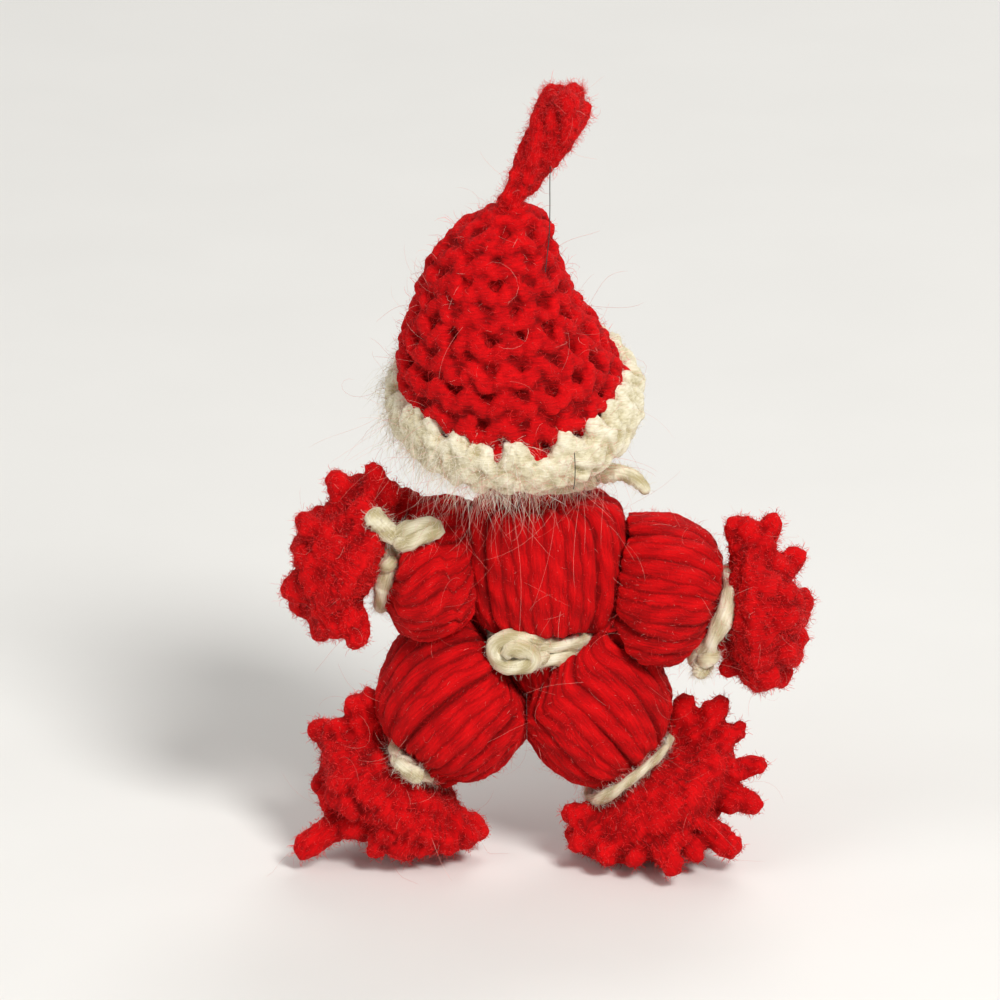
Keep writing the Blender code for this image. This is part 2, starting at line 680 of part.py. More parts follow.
# Legs: puffs cut by the torso in each pose and by the parting between them
leg_sides = {
    "right": (LEG_RIGHT_TOP_X, ANKLE_RIGHT, LEG_RIGHT_SLOPE, 1),
    "left": (LEG_LEFT_TOP_X, ANKLE_LEFT, LEG_LEFT_SLOPE, -1),
}
leg_clear = {}
for name, (top_x, ankle, slope, hand) in leg_sides.items():
    pivot = new_pivot(f"hip_{name}_pivot", hips)
    run = slope_run(slope)
    start = Vector((top_x, 0, HIP_HEIGHT))
    start_run = slope_run(slope + hand * LEG_SPLAY)
    radii = (LEG_TOP_RADIUS, LEG_RADIUS, ANKLE_RADIUS)
    leg = lofted_form(f"leg_{name}", limb_rings(start, start_run, ankle, run, radii), sides)
    grown = limb_rings(start, start_run, ankle, run, radii, grow=2 * GAP)
    leg_clear[name] = finish_cutter(lofted_form(f"leg_{name}_clear", grown, CLEAR_SIDES, plain=True))
    for step in range(SWEEP_STEPS):
        angle = LEG_SWING * (2 * step / (SWEEP_STEPS - 1) - 1)
        carve(leg, turned_copy(torso_clear, f"torso_at_leg_{name}_{step}", hips, "X", angle))
    reach = Vector((0, SHOULDER_HEIGHT, SHOULDER_HEIGHT))
    parting = LEG_PARTING_X + hand * GAP / 2
    far = parting - hand * SHOULDER_HEIGHT
    low = Vector((min(parting, far), -reach.y, -reach.z))
    high = Vector((max(parting, far), reach.y, reach.z))
    carve(leg, finish_cutter(block_form(f"parting_{name}", low, high)))
    finish_piece(leg, RED, 0.9, pivot)
    finish_piece(tie_form(
        f"ankle_tie_{name}", ankle, run, ANKLE_RADIUS, ANKLE_RADIUS, 1,
        ANKLE_LEFT_KNOT if name == "left" else ANKLE_RIGHT_KNOT,
        [(-Y - run * 0.5, TIE_END_LENGTH)] if name == "left" else [],
    ), CREAM, 0.95, pivot)

    ankle_pivot = new_pivot(f"ankle_{name}_pivot", ankle, pivot)
    foot = tassel_form(
        f"foot_{name}", ankle, run, FOOT_LENGTH, FOOT_RADIUS, STRAND_SEEDS[f"foot_{name}"], stands=True,
        long_towards=(-X * 0.75 - Y * 0.4 - Z * 0.6).normalized() if name == "left" else None)
    carve(foot, finish_cutter(ball_form(f"ankle_{name}_socket", ankle, ANKLE_RADIUS + GAP)))
    carve(foot, tie_room(f"ankle_{name}_room", ankle, run, ANKLE_RADIUS, ANKLE_BEND))
    table = Vector((SHOULDER_HEIGHT, SHOULDER_HEIGHT, 0))
    carve(foot, finish_cutter(block_form(f"table_{name}", -table - Z * SHOULDER_HEIGHT, table)))
    finish_piece(foot, RED, 0.9, ankle_pivot)

# Arms: puffs cut by the torso and the legs in each pose, on a hub in the torso's tunnel
arm_sides = {
    "right": (WRIST_RIGHT, ARM_RIGHT_SLOPE, ARM_RADIUS, ARM_RIGHT_RAISE, 1),
    "left": (WRIST_LEFT, ARM_LEFT_SLOPE, ARM_LEFT_RADIUS, ARM_LEFT_RAISE, -1),
}
for name, (wrist, slope, full, lift, hand) in arm_sides.items():
    hub = arm_hubs[name]
    pivot = new_pivot(f"arm_{name}_pivot", hub)
    run = slope_run(slope)
    start_run = (wrist - hub).normalized()
    radii = (ARM_HUB_RADIUS, full, WRIST_RADIUS)
    arm = lofted_form(f"arm_{name}", limb_rings(hub, start_run, wrist, run, radii), sides)
    for step in range(SWEEP_STEPS):
        angle = hand * lift * step / (SWEEP_STEPS - 1)
        carve(arm, turned_copy(torso_clear, f"torso_at_arm_{name}_{step}", hub, "Y", angle))
    for step in range(SWEEP_STEPS):
        angle = LEG_SWING * (2 * step / (SWEEP_STEPS - 1) - 1)
        carve(arm, turned_copy(leg_clear[name], f"leg_at_arm_{name}_{step}", hips, "X", angle))
    carve(arm, finish_cutter(ball_form(f"arm_{name}_hub", hub, ARM_HUB_RADIUS)), "UNION")
    finish_piece(arm, RED, 0.9, pivot)
    if name == "left":
        knot_at, end = WRIST_LEFT_KNOT, (X * 0.26 - Y * 0.45 + Z * 0.87, WRIST_LEFT_END_LENGTH)
    else:
        knot_at, end = WRIST_RIGHT_KNOT, (-X * 0.3 - Y * 0.4 - Z * 0.85, TIE_END_LENGTH)
    finish_piece(tie_form(
        f"wrist_tie_{name}", wrist, run, WRIST_RADIUS, WRIST_RADIUS, 1, knot_at, [end],
    ), CREAM, 0.95, pivot)

    wrist_pivot = new_pivot(f"wrist_{name}_pivot", wrist, pivot)
    size = (HAND_LENGTH, HAND_RADIUS) if name == "right" else (HAND_LEFT_LENGTH, HAND_LEFT_RADIUS)
    palm_run = slope_run(HAND_RIGHT_SLOPE if name == "right" else HAND_LEFT_SLOPE)
    palm = tassel_form(f"hand_{name}", wrist, palm_run, *size, STRAND_SEEDS[f"hand_{name}"])
    carve(palm, finish_cutter(ball_form(f"wrist_{name}_socket", wrist, WRIST_RADIUS + GAP)))
    carve(palm, tie_room(f"wrist_{name}_room", wrist, run, WRIST_RADIUS, WRIST_BEND))
    finish_piece(palm, RED, 0.9, wrist_pivot)

# Neck and head
finish_piece(tie_form(
    "neck_tie", neck, Z, NECK_RADIUS, NECK_RADIUS, 1, NECK_KNOT, [(X - Y * 0.2, NECK_END_LENGTH)],
), CREAM, 0.95, neck_pivot)

head = ball_form("head_ball", HEAD_CENTRE, HEAD_RADIUS, 24, 16)
combine(head, finish_cutter(ball_form("neck_socket", neck, NECK_RADIUS + GAP)))
dish_radius = NECK_RADIUS + TIE_DIA + KNOT_HALF_DEPTH + 2 * GAP
combine(head, finish_cutter(rod_form(
    "neck_dish", neck - Z * HEAD_RADIUS, neck + Z * (KNOT_HALF_HEIGHT + GAP), dish_radius)))
for name, hand in (("right", 1), ("left", -1)):
    out = Vector((hand * math.sin(EYE_SPREAD), math.cos(EYE_SPREAD), 0)) * math.cos(EYE_RISE)
    out += Z * math.sin(EYE_RISE)
    place = HEAD_CENTRE + out * (HEAD_RADIUS + EYE_RADIUS / 4)
    combine(head, finish_cutter(ball_form(f"eye_{name}_seat", place, EYE_RADIUS + 2 * GAP, 10, 6)))
    finish_piece(ball_form(f"eye_{name}", place, EYE_RADIUS, 10, 6), BLACK, 0.15, head_pivot)
finish_piece(head, CREAM, 0.95, head_pivot)

hat = lofted_form("hat", hat_rings(), HAT_SIDES)
combine(hat, finish_cutter(ball_form("head_in_hat", HEAD_CENTRE, HEAD_RADIUS + 2 * GAP, 24, 16)))
finish_piece(hat, RED, 0.9, head_pivot)
trim = trim_form()
combine(trim, finish_cutter(ball_form("head_in_trim", HEAD_CENTRE, HEAD_RADIUS + 2 * GAP, 24, 16)))
finish_piece(trim, CREAM, 0.95, head_pivot)

tail_root = HAT_TIP + Z * (HAT_ROW_BULGE + GAP + TAIL_ROOT_RADIUS)
tail_pivot = new_pivot("tail_pivot", tail_root, head_pivot)
finish_piece(lofted_form("hat_tail", tail_rings(tail_root, slope_run(TAIL_LEAN)), 12), RED, 0.9, tail_pivot)

for piece in (neck_pivot, head_pivot, tail_pivot):
    print(piece.name, [round(value, 5) for value in world_place(piece)])
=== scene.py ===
# Yarn doll: puffs and cut tassels of red worsted yarn held by cream ties, and a wound head under a crocheted cap.
# Metres. The doll's back looks along -Y, as in the photograph, and it stands at Z = 0.
import math

import bpy
import numpy as np
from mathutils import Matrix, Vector


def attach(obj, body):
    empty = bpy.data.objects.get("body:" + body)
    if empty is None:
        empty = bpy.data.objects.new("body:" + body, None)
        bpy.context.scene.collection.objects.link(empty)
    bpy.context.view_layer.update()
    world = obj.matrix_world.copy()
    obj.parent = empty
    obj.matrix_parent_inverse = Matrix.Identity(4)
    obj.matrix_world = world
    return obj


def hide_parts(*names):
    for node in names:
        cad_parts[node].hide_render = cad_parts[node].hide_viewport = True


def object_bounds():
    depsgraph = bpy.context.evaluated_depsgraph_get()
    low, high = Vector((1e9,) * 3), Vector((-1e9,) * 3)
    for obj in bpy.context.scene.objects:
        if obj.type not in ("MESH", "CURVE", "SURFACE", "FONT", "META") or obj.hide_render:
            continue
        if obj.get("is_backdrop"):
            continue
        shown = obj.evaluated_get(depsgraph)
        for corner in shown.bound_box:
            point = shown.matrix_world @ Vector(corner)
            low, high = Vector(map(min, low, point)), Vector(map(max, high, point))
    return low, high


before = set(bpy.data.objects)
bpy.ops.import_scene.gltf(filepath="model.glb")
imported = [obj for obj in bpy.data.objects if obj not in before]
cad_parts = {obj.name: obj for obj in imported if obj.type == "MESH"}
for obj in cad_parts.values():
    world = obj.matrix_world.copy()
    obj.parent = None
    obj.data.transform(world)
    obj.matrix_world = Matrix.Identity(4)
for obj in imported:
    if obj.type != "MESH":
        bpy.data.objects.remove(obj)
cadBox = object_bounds()
mm = 0.001
tau = math.tau
axisX, axisY, axisZ = np.eye(3)
# loose hairs stay above the table and inside the size allowance
hairFloor, hairBack = 0.06 * mm, -27.8 * mm  # loose hairs stay above the table and no further than 27.8 mm out along -Y
total = {"triangles": 0}


# Shapes as whole arrays
def unit(v):
    return v / np.maximum(np.linalg.norm(v, axis=-1, keepdims=True), 1e-12)


def blendIn(t):  # 3t^2 - 2t^3
    t = np.clip(t, 0, 1)
    return t * t * (3 - 2 * t)


def turnsOf(count):  # even angles round a circle
    return np.arange(count) / count * tau


def swing(a, b, angle):  # a cos(angle) + b sin(angle)
    return a * np.cos(angle)[..., None] + b * np.sin(angle)[..., None]


def bezier(points, t):
    # the cubic Bezier curve (1-t)^3 a + 3(1-t)^2 t b + 3(1-t) t^2 c + t^3 d
    a, b, c, d = (np.asarray(p, float)[..., None, :] for p in points)
    t = np.asarray(t, float)[..., None]
    return a * (1 - t) ** 3 + 3 * b * (1 - t) ** 2 * t + 3 * c * (1 - t) * t**2 + d * t**3


def smoothCurve(control, count):
    # Catmull-Rom curve through the control points, read again at even steps of its length
    c = np.asarray(control, float)
    k = np.vstack([2 * c[0] - c[1], c, 2 * c[-1] - c[-2]])
    t = np.linspace(0, len(c) - 1 - 1e-9, 24 * len(c))
    i, f = t.astype(int), (t - t.astype(int))[:, None]
    a, b, d, e = k[i], k[i + 1], k[i + 2], k[i + 3]
    p = 0.5 * (2 * b + (d - a) * f + (2 * a - 5 * b + 4 * d - e) * f**2 + (3 * b - a - 3 * d + e) * f**3)
    far = np.concatenate([[0], np.cumsum(np.linalg.norm(np.diff(p, axis=0), axis=1))])
    want = np.linspace(0, far[-1], count)
    return np.stack([np.interp(want, far, p[:, j]) for j in range(p.shape[1])], 1)


def ripple(p, size, seed, waves=16):
    # Even noise about -1..1: the sum of sine waves of about this wavelength in random directions
    rng = np.random.default_rng(seed)
    k = unit(rng.normal(0, 1, (waves, 3))) * tau / size * rng.uniform(0.7, 1.4, (waves, 1))
    return np.sin(p @ k.T + rng.uniform(0, tau, waves)).sum(-1) / math.sqrt(waves)


def outward(part):
    # Turns every face round if the signed volume, the sum of a . (b x c) / 6 over the triangles, is below zero
    v, q, t = part["verts"], part["quads"], part["tris"]
    corners = np.concatenate([q[:, [0, 1, 2]], q[:, [0, 2, 3]], t])
    a, b, c = (v[corners[:, i]] - v.mean(0) for i in range(3))
    if (a * np.cross(b, c)).sum() < 0:
        for key in ("quads", "tris", "quadUv", "triUv"):
            part[key] = part[key][:, ::-1]
    return part


def yarnTubes(paths, facing, wide, deep=None, ply=0.0, pitch=9, sides=12, roundEnd=1.0, seed=1, slot=0, fluff=0.0):
    # A profile carried along each path: centre + side * wide * k * cos(a) + out * deep * k * sin(a), where
    # k = 1 + ply * cos(2 (a - twist)) + fluff * noise makes two plies that turn once in each pitch in mm, with an
    # uneven nap, and the ends round off to poles
    rng = np.random.default_rng(seed)
    paths = np.asarray(paths, float)
    n, s = paths.shape[:2]
    run = unit(np.gradient(paths, axis=1))
    out = np.broadcast_to(np.asarray(facing, float), paths.shape)
    out = unit(out - (out * run).sum(-1, keepdims=True) * run)
    side = np.cross(run, out)
    wide = np.broadcast_to(wide, (n, s))
    deep = wide if deep is None else np.broadcast_to(deep, (n, s))
    step = np.linalg.norm(np.diff(paths, axis=1), axis=-1)
    far = np.concatenate([np.zeros((n, 1)), np.cumsum(step, 1)], 1)
    toEnd = np.clip(np.minimum(far, far[:, -1:] - far) / (roundEnd * wide), 0, 1)
    shut = np.sqrt(np.clip(1 - (1 - toEnd) ** 2, 0, 1))[:, :, None]
    angle = turnsOf(sides)
    crest = np.cos(2 * (angle - (tau * far / (pitch * mm))[:, :, None] - rng.uniform(0, tau, (n, 1, 1))))
    k = shut * (1 + ply * crest)
    if fluff:
        noise = rng.normal(0, 1, (n, s, sides))
        noise = noise + np.roll(noise, 1, 2) + np.roll(noise, -1, 2)
        noise[:, 1:-1] = noise[:, :-2] + 2 * noise[:, 1:-1] + noise[:, 2:]
        k = k * (1 + fluff * noise / 4.2)  # 4.2 is the averaged noise's own spread
    away = (side[:, :, None] * (wide[:, :, None] * np.cos(angle) * k)[..., None]
            + out[:, :, None] * (deep[:, :, None] * np.sin(angle) * k)[..., None])
    ring = paths[:, :, None] + away
    r = s - 2
    verts = np.concatenate([ring[:, 1:-1].reshape(-1, 3), paths[:, 0], paths[:, -1]])
    at = lambda row, col: np.stack([far[t, row], col / sides], 1)
    t, row, col = (x.ravel() for x in np.meshgrid(np.arange(n), np.arange(r - 1), np.arange(sides), indexing="ij"))
    here, nxt = t * r * sides + row * sides, (col + 1) % sides
    quads = np.stack([here + col, here + sides + col, here + sides + nxt, here + nxt], 1)
    quadUv = np.stack([at(row + 1, col), at(row + 2, col), at(row + 2, col + 1), at(row + 1, col + 1)], 1)
    t, col = (x.ravel() for x in np.meshgrid(np.arange(n), np.arange(sides), indexing="ij"))
    nxt, first, last = (col + 1) % sides, t * r * sides, t * r * sides + (r - 1) * sides
    pole = n * r * sides + t
    tris = np.concatenate([
        np.stack([pole, first + col, first + nxt], 1), np.stack([last + col, pole + n, last + nxt], 1)])
    triUv = np.concatenate([np.stack([at(0, col + 0.5), at(1, col), at(1, col + 1)], 1),
                            np.stack([at(-2, col), at(-1, col + 0.5), at(-2, col + 1)], 1)])
    scale = np.array([1 / mm, sides * 0.75])  # the map is in millimetres along the yarn and round it
    shade = rng.uniform(0, 1, n)
    spread = lambda x: np.broadcast_to(x, (n, r, sides) + x.shape[3:])
    # the plies' crest value is kept as painted shade: low where the plies meet, high on their crests
    return outward({
        "verts": verts, "quads": quads, "tris": tris, "quadUv": quadUv * scale, "triUv": triUv * scale, "slot": slot,
        "groove": np.concatenate([(crest[:, 1:-1] * 0.5 + 0.5).ravel(), np.ones(2 * n)]),
        "shade": np.concatenate([np.repeat(shade, r * sides), shade, shade]),
        "roots": ring[:, 1:-1].reshape(-1, 3), "normals": unit(away[:, 1:-1].reshape(-1, 3)),
        "runs": spread(run[:, 1:-1, None]).reshape(-1, 3), "weights": spread(wide[:, 1:-1, None]).ravel(),
        "along": spread((far / far[:, -1:])[:, 1:-1, None]).ravel(),
    })


def closedSkin(points, uv=None, groove=None, shade=None):
    # A closed surface over rings of points, drawn to a pole at each end
    rows, sides = points.shape[:2]
    row, col = (x.ravel() for x in np.meshgrid(np.arange(rows - 1), np.arange(sides), indexing="ij"))
    nxt = (col + 1) % sides
    quads = np.stack([row * sides + col, (row + 1) * sides + col, (row + 1) * sides + nxt, row * sides + nxt], 1)
    col = np.arange(sides)
    nxt, last, pole = (col + 1) % sides, (rows - 1) * sides, np.full(sides, rows * sides)
    tris = np.concatenate([np.stack([pole, col, nxt], 1), np.stack([last + nxt, last + col, pole + 1], 1)])
    if uv is None:
        uv = np.stack(np.meshgrid(np.arange(rows) * 1.5, np.arange(sides) * 1.5, indexing="ij"), -1)

    def ends(x):  # the rings' values, then the mean of each end ring for its pole
        x = x.reshape(rows, sides, -1)
        return np.concatenate([x.reshape(rows * sides, -1), x[[0, -1]].mean(1)])

    flat = ends(uv)
    # a shell with no values of its own gets an even painted shade of 0.15, dark like the hollows under the strands
    values = [np.full(rows * sides + 2, 0.15) if x is None else ends(x)[:, 0] for x in (groove, shade)]
    return outward({"verts": ends(points), "quads": quads, "tris": tris, "quadUv": flat[quads], "triUv": flat[tris],
                    "slot": 0, "groove": values[0], "shade": values[1]})


def bundleSkin(base, count, seed, ply=0.12, pitch=11.0, twist=0.06, deepest=1.3):
    # A bundle of strands pressed side by side, as one skin on the base rings. Each strand stands over the base by
    # deep * sqrt(1 - (d / w)^2) + ply * cos(2 asin(d / w) - 4 pi u / pitch), with d its distance round the bundle and u
    # along it, and the skin is the soft maximum log(sum(exp(k h))) / k of the strands. Sizes in mm
    rng = np.random.default_rng(seed)
    rows = len(base)
    slope = np.gradient(base, axis=0)
    around = (np.roll(base, -1, 1) - np.roll(base, 1, 1)) / 2
    normal = unit(np.cross(slope, around))
    for _ in range(3):
        normal = unit(normal + np.roll(normal, 1, 1) + np.roll(normal, -1, 1))
    step = np.linalg.norm(around, axis=-1)
    girth = step.sum(1)
    arc = (np.cumsum(step, 1) - step) / girth[:, None]
    far = np.concatenate([[0], np.cumsum(np.linalg.norm(np.diff(base, axis=0), axis=-1).mean(1))])
    share = np.linspace(0, 1, rows)[:, None]
    draw = lambda low, high: rng.uniform(low, high, count)
    # the strands stray from even places, in width and in height, along gentle waves
    wander = draw(-0.2, 0.2) + 0.16 * np.sin(share * draw(2, 6) + draw(0, tau))
    middle = (np.arange(count) + wander) / count + twist * (share - 0.5)
    d = ((arc[:, :, None] - middle[:, None] + 0.5) % 1 - 0.5) * girth[:, None, None]
    half = (girth / count)[:, None, None] * draw(0.6, 0.76)
    lay = np.clip(d / half, -1, 1)
    dome = np.sqrt(1 - lay**2)
    deep = np.minimum(half * 0.9, deepest * mm)
    crest = np.cos(2 * np.arcsin(lay) - 2 * tau * far[:, None, None] / (pitch * mm) + draw(0, tau))
    proud = (draw(-0.2, 0.16) + 0.16 * np.sin(share * draw(3, 8) + draw(0, tau))) * mm
    proud = proud * np.minimum(girth / (30 * mm), 1)[:, None]
    height = np.where(np.abs(lay) < 1, deep * dome + ply * mm * crest * dome + proud[:, None], -0.25 * deep)
    best = height.argmax(-1)[..., None]
    top = height.max(-1)
    sharp = 7 / mm
    skin = top + np.log(np.exp((height - top[..., None]) * sharp).sum(-1)) / sharp
    read = lambda x: np.take_along_axis(np.broadcast_to(x, height.shape), best, 2)[..., 0]
    sheet = base + normal * (skin - deep.mean(-1))[..., None]
    sheet = sheet + normal * (0.05 * mm * ripple(sheet, 0.9 * mm, seed + 1))[..., None]
    uv = np.stack([np.broadcast_to(far[:, None], best.shape[:2]) / mm, read(d) / mm + 23.0 * best[..., 0]], -1)
    # painted shade: the value falls in the hollows between strands and where the plies meet, and is highest on their
    # crests
    groove = np.clip((read(dome) - 0.5) / 0.45, 0, 1) * (0.72 + 0.28 * read(crest))
    part = closedSkin(sheet, uv, groove, rng.uniform(0, 1, count)[best[..., 0]])
    weights = step * np.linalg.norm(slope, axis=-1)
    part.update({"roots": sheet.reshape(-1, 3), "normals": normal.reshape(-1, 3), "runs": unit(slope).reshape(-1, 3),
                 "weights": weights.ravel(), "along": np.broadcast_to(share, best.shape[:2]).ravel()})
    return part


def newObject(name, data):
    made = bpy.data.objects.new(name, data)
    bpy.context.scene.collection.objects.link(made)
    return made


def readOut(data, key, kind, width=1):
    # One value of every item in a mesh's list, as an array
    values = np.empty(len(data) * width, kind)
    data.foreach_get(key, values)
    return values.reshape(-1, width) if width > 1 else values


def neighbourMean(values, edges):
    # The mean of each vertex's neighbours
    n = len(values)
    a, b = np.concatenate([edges[:, 0], edges[:, 1]]), np.concatenate([edges[:, 1], edges[:, 0]])
    count = np.maximum(np.bincount(a, minlength=n), 1)
    return np.stack([np.bincount(a, weights=values[b, i], minlength=n) / count for i in range(values.shape[1])], 1)


def fusedSkin(parts, voxel, rounds, seed, mapTo, lumps, floorAt=None):
    # Felts overlapping parts into one skin: welded in cells of the voxel size in mm, smoothed, and lumped by noise
    # along its normals, of wavelengths and sizes in mm. Its painted hollow shade value is high on crests and low in
    # hollows, painting shade into the hollows
    verts = np.concatenate([p["verts"] for p in parts])
    start = np.cumsum([0] + [len(p["verts"]) for p in parts])
    faces = [face for p, o in zip(parts, start) for key in ("quads", "tris") for face in (p[key] + o).tolist()]
    mesh = bpy.data.meshes.new("raw")
    mesh.from_pydata(verts.tolist(), [], faces)
    raw = newObject("raw", mesh)
    weld = raw.modifiers.new("weld", "REMESH")
    weld.mode, weld.voxel_size, weld.adaptivity = "VOXEL", voxel * mm, 0.0
    bpy.context.view_layer.update()
    made = bpy.data.meshes.new_from_object(raw.evaluated_get(bpy.context.evaluated_depsgraph_get()))
    bpy.data.objects.remove(raw, do_unlink=True)
    bpy.data.meshes.remove(mesh)
    co = readOut(made.vertices, "co", np.float32, 3).astype(float)
    edges = readOut(made.edges, "vertices", np.int32, 2)
    loops = readOut(made.loops, "vertex_index", np.int32)
    sizes = readOut(made.polygons, "loop_total", np.int32)
    starts = np.cumsum(sizes) - sizes
    quads, tris = (loops[starts[sizes == corners][:, None] + np.arange(corners)] for corners in (4, 3))
    bpy.data.meshes.remove(made)
    for _ in range(rounds):
        co = 0.5 * co + 0.5 * neighbourMean(co, edges)

    def normalsOf(co):  # each vertex's mean of the cross products of its quads' diagonals
        across = np.cross(co[quads[:, 2]] - co[quads[:, 0]], co[quads[:, 3]] - co[quads[:, 1]])
        sums = [sum(np.bincount(quads[:, j], weights=across[:, i], minlength=len(co)) for j in range(4))
                for i in range(3)]
        return unit(np.stack(sums, 1))

    normal = normalsOf(co)
    lump = sum(size * mm * ripple(co, wave * mm, seed + i) for i, (wave, size) in enumerate(lumps))
    co = co + normal * lump[:, None]
    if floorAt is not None:
        co[:, 2] = np.maximum(co[:, 2], floorAt)
    calm = co
    for _ in range(9):
        calm = neighbourMean(calm, edges)
    normal = normalsOf(co)
    raised = ((co - calm) * normal).sum(-1) / mm
    uv = mapTo(co)
    lay = unit(ripple(co, 3 * mm, seed + 5)[:, None] + axisX)
    return outward({"verts": co, "quads": quads, "tris": tris, "quadUv": uv[quads], "triUv": uv[tris], "slot": 0,
                    "groove": np.clip(0.5 + raised / (0.9 * voxel), 0, 1),
                    "shade": 0.5 + 0.5 * np.clip(ripple(co, 5 * mm, seed + 9), -1, 1),
                    "roots": co, "normals": normal, "runs": unit(np.cross(normal, lay)),
                    "weights": np.ones(len(co)), "along": np.ones(len(co))})


def growHairs(skin, count, length, seed, thick=0.045, curl=0.05, bend=0.35, lean=0.7, spread=0.45, tips=0.0,
              drift=(0, 0, 0), slot=1, keep=None, steps=5, away=1.0):
    # Loose fibres on a skin: arcs root + length * (sin(a t) / a * heading + (1 - cos(a t)) / a * side), with a little
    # of a spiral, each a three-sided thread. Lengths and thickness in mm; most hairs are short
    rng = np.random.default_rng(seed)
    reach = np.cumsum(skin["weights"] * (1 - tips + tips * skin["along"] ** 3))
    pick = np.searchsorted(reach, rng.uniform(0, reach[-1], count * 3)).clip(0, len(reach) - 1)
    if keep is not None:
        pick = pick[keep(skin["roots"][pick], skin["normals"][pick])]
    pick = pick[:count]
    count = len(pick)
    normal, run = skin["normals"][pick], skin["runs"][pick]
    root = skin["roots"][pick] + rng.normal(0, 0.12, (count, 3)) * mm - normal * 0.12 * mm
    heading = unit(normal * away + run * rng.normal(0, lean, (count, 1)) + rng.normal(0, spread, (count, 3)))
    size = (length[0] + (length[1] - length[0]) * rng.uniform(0, 1, (count, 1)) ** 2.0) * mm
    t = np.linspace(0, 1, steps)
    e1 = unit(np.cross(heading, rng.normal(0, 1, (count, 3))))
    e2 = np.cross(heading, e1)
    turn = rng.uniform(2.0, 6.0, (count, 1)) * t + rng.uniform(0, tau, (count, 1))
    arc = rng.normal(0, 3.2 * bend, (count, 1))
    arc = np.where(np.abs(arc) < 0.1, 0.1, arc)
    path = root[:, None] + (size / arc * np.sin(arc * t))[..., None] * heading[:, None]
    path = path + (size / arc * (1 - np.cos(arc * t)))[..., None] * e1[:, None]
    path = path + (size * t**2)[..., None] * np.asarray(drift, float)
    path = path + swing(e1[:, None], e2[:, None], turn) * (curl * size * t)[..., None]
    path[..., 2] = np.maximum(path[..., 2], hairFloor)
    path[..., 1] = np.maximum(path[..., 1], hairBack)
    radius = thick / 2 * mm * (1 - 0.4 * t) * rng.uniform(0.7, 1.25, (count, 1))
    return yarnTubes(path, e1[:, None], radius, sides=3, seed=seed + 1, slot=slot)


def makePiece(name, parts, body, materials, replaces=()):
    # Joins the parts' arrays into one mesh with its map, groove and shade values
    verts = np.concatenate([p["verts"] for p in parts])
    start = np.cumsum([0] + [len(p["verts"]) for p in parts])
    join = lambda arrays: np.concatenate(list(arrays))
    loops = join(x for p, o in zip(parts, start) for x in ((p["quads"] + o).ravel(), (p["tris"] + o).ravel()))
    uv = join(x for p in parts for x in (p["quadUv"].reshape(-1, 2), p["triUv"].reshape(-1, 2)))
    sizes = join(x for p in parts for x in (np.full(len(p["quads"]), 4), np.full(len(p["tris"]), 3)))
    slots = join(np.full(len(p["quads"]) + len(p["tris"]), p["slot"]) for p in parts)
    mesh = bpy.data.meshes.new(name)
    mesh.vertices.add(len(verts))
    mesh.vertices.foreach_set("co", verts.astype(np.float32).ravel())
    mesh.loops.add(len(loops))
    mesh.loops.foreach_set("vertex_index", loops.astype(np.int32))
    mesh.polygons.add(len(sizes))
    mesh.polygons.foreach_set("loop_start", (np.cumsum(sizes) - sizes).astype(np.int32))
    mesh.polygons.foreach_set("material_index", slots.astype(np.int32))
    mesh.update(calc_edges=True)
    mesh.uv_layers.new(name="yarnMap").data.foreach_set("uv", uv.astype(np.float32).ravel())
    for key in ("groove", "shade"):
        values = join(p[key] for p in parts).astype(np.float32)
        mesh.attributes.new(key, "FLOAT", "POINT").data.foreach_set("value", values)
    mesh.shade_smooth()
    for material in materials:
        mesh.materials.append(material)
    piece = newObject(name, mesh)
    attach(piece, body)
    if replaces:
        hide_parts(*replaces)
    triangles = int((sizes - 2).sum())
    total["triangles"] += triangles
    print(f"{name}: {triangles} triangles on {body}")


# Materials
def linear(hexColour):
    # sRGB to linear: x / 12.92 in the darks, ((x + 0.055) / 1.055)^2.4 above
    parts = [int(hexColour[i:i + 2], 16) / 255 for i in (0, 2, 4)]
    return tuple(x / 12.92 if x <= 0.04045 else ((x + 0.055) / 1.055) ** 2.4 for x in parts) + (1.0,)


def addNode(tree, kind, settings=None, values=None, links=None):
    node = tree.nodes.new(kind)
    for key, value in (settings or {}).items():
        setattr(node, key, value)
    for key, value in (values or {}).items():
        node.inputs[key].default_value = value
    for key, source in (links or {}).items():
        tree.links.new(source, node.inputs[key])
    return node


def newMaterial(name, roughness, sheen=0.0, sheenTint="ffffff", shine=0.5):
    material = bpy.data.materials.new(name)
    material.use_nodes = True
    shader = material.node_tree.nodes["Principled BSDF"]
    for key, value in (("Roughness", roughness), ("Sheen Weight", sheen), ("Sheen Roughness", 0.45),
                       ("Sheen Tint", linear(sheenTint)), ("Specular IOR Level", shine)):
        shader.inputs[key].default_value = value
    return material, material.node_tree, shader


def speckle(tree, scale, detail, roughness=0.5):  # noise in the piece's own space
    place = addNode(tree, "ShaderNodeTexCoord").outputs["Object"]
    return addNode(tree, "ShaderNodeTexNoise", values={"Scale": scale, "Detail": detail, "Roughness": roughness},
                   links={"Vector": place})


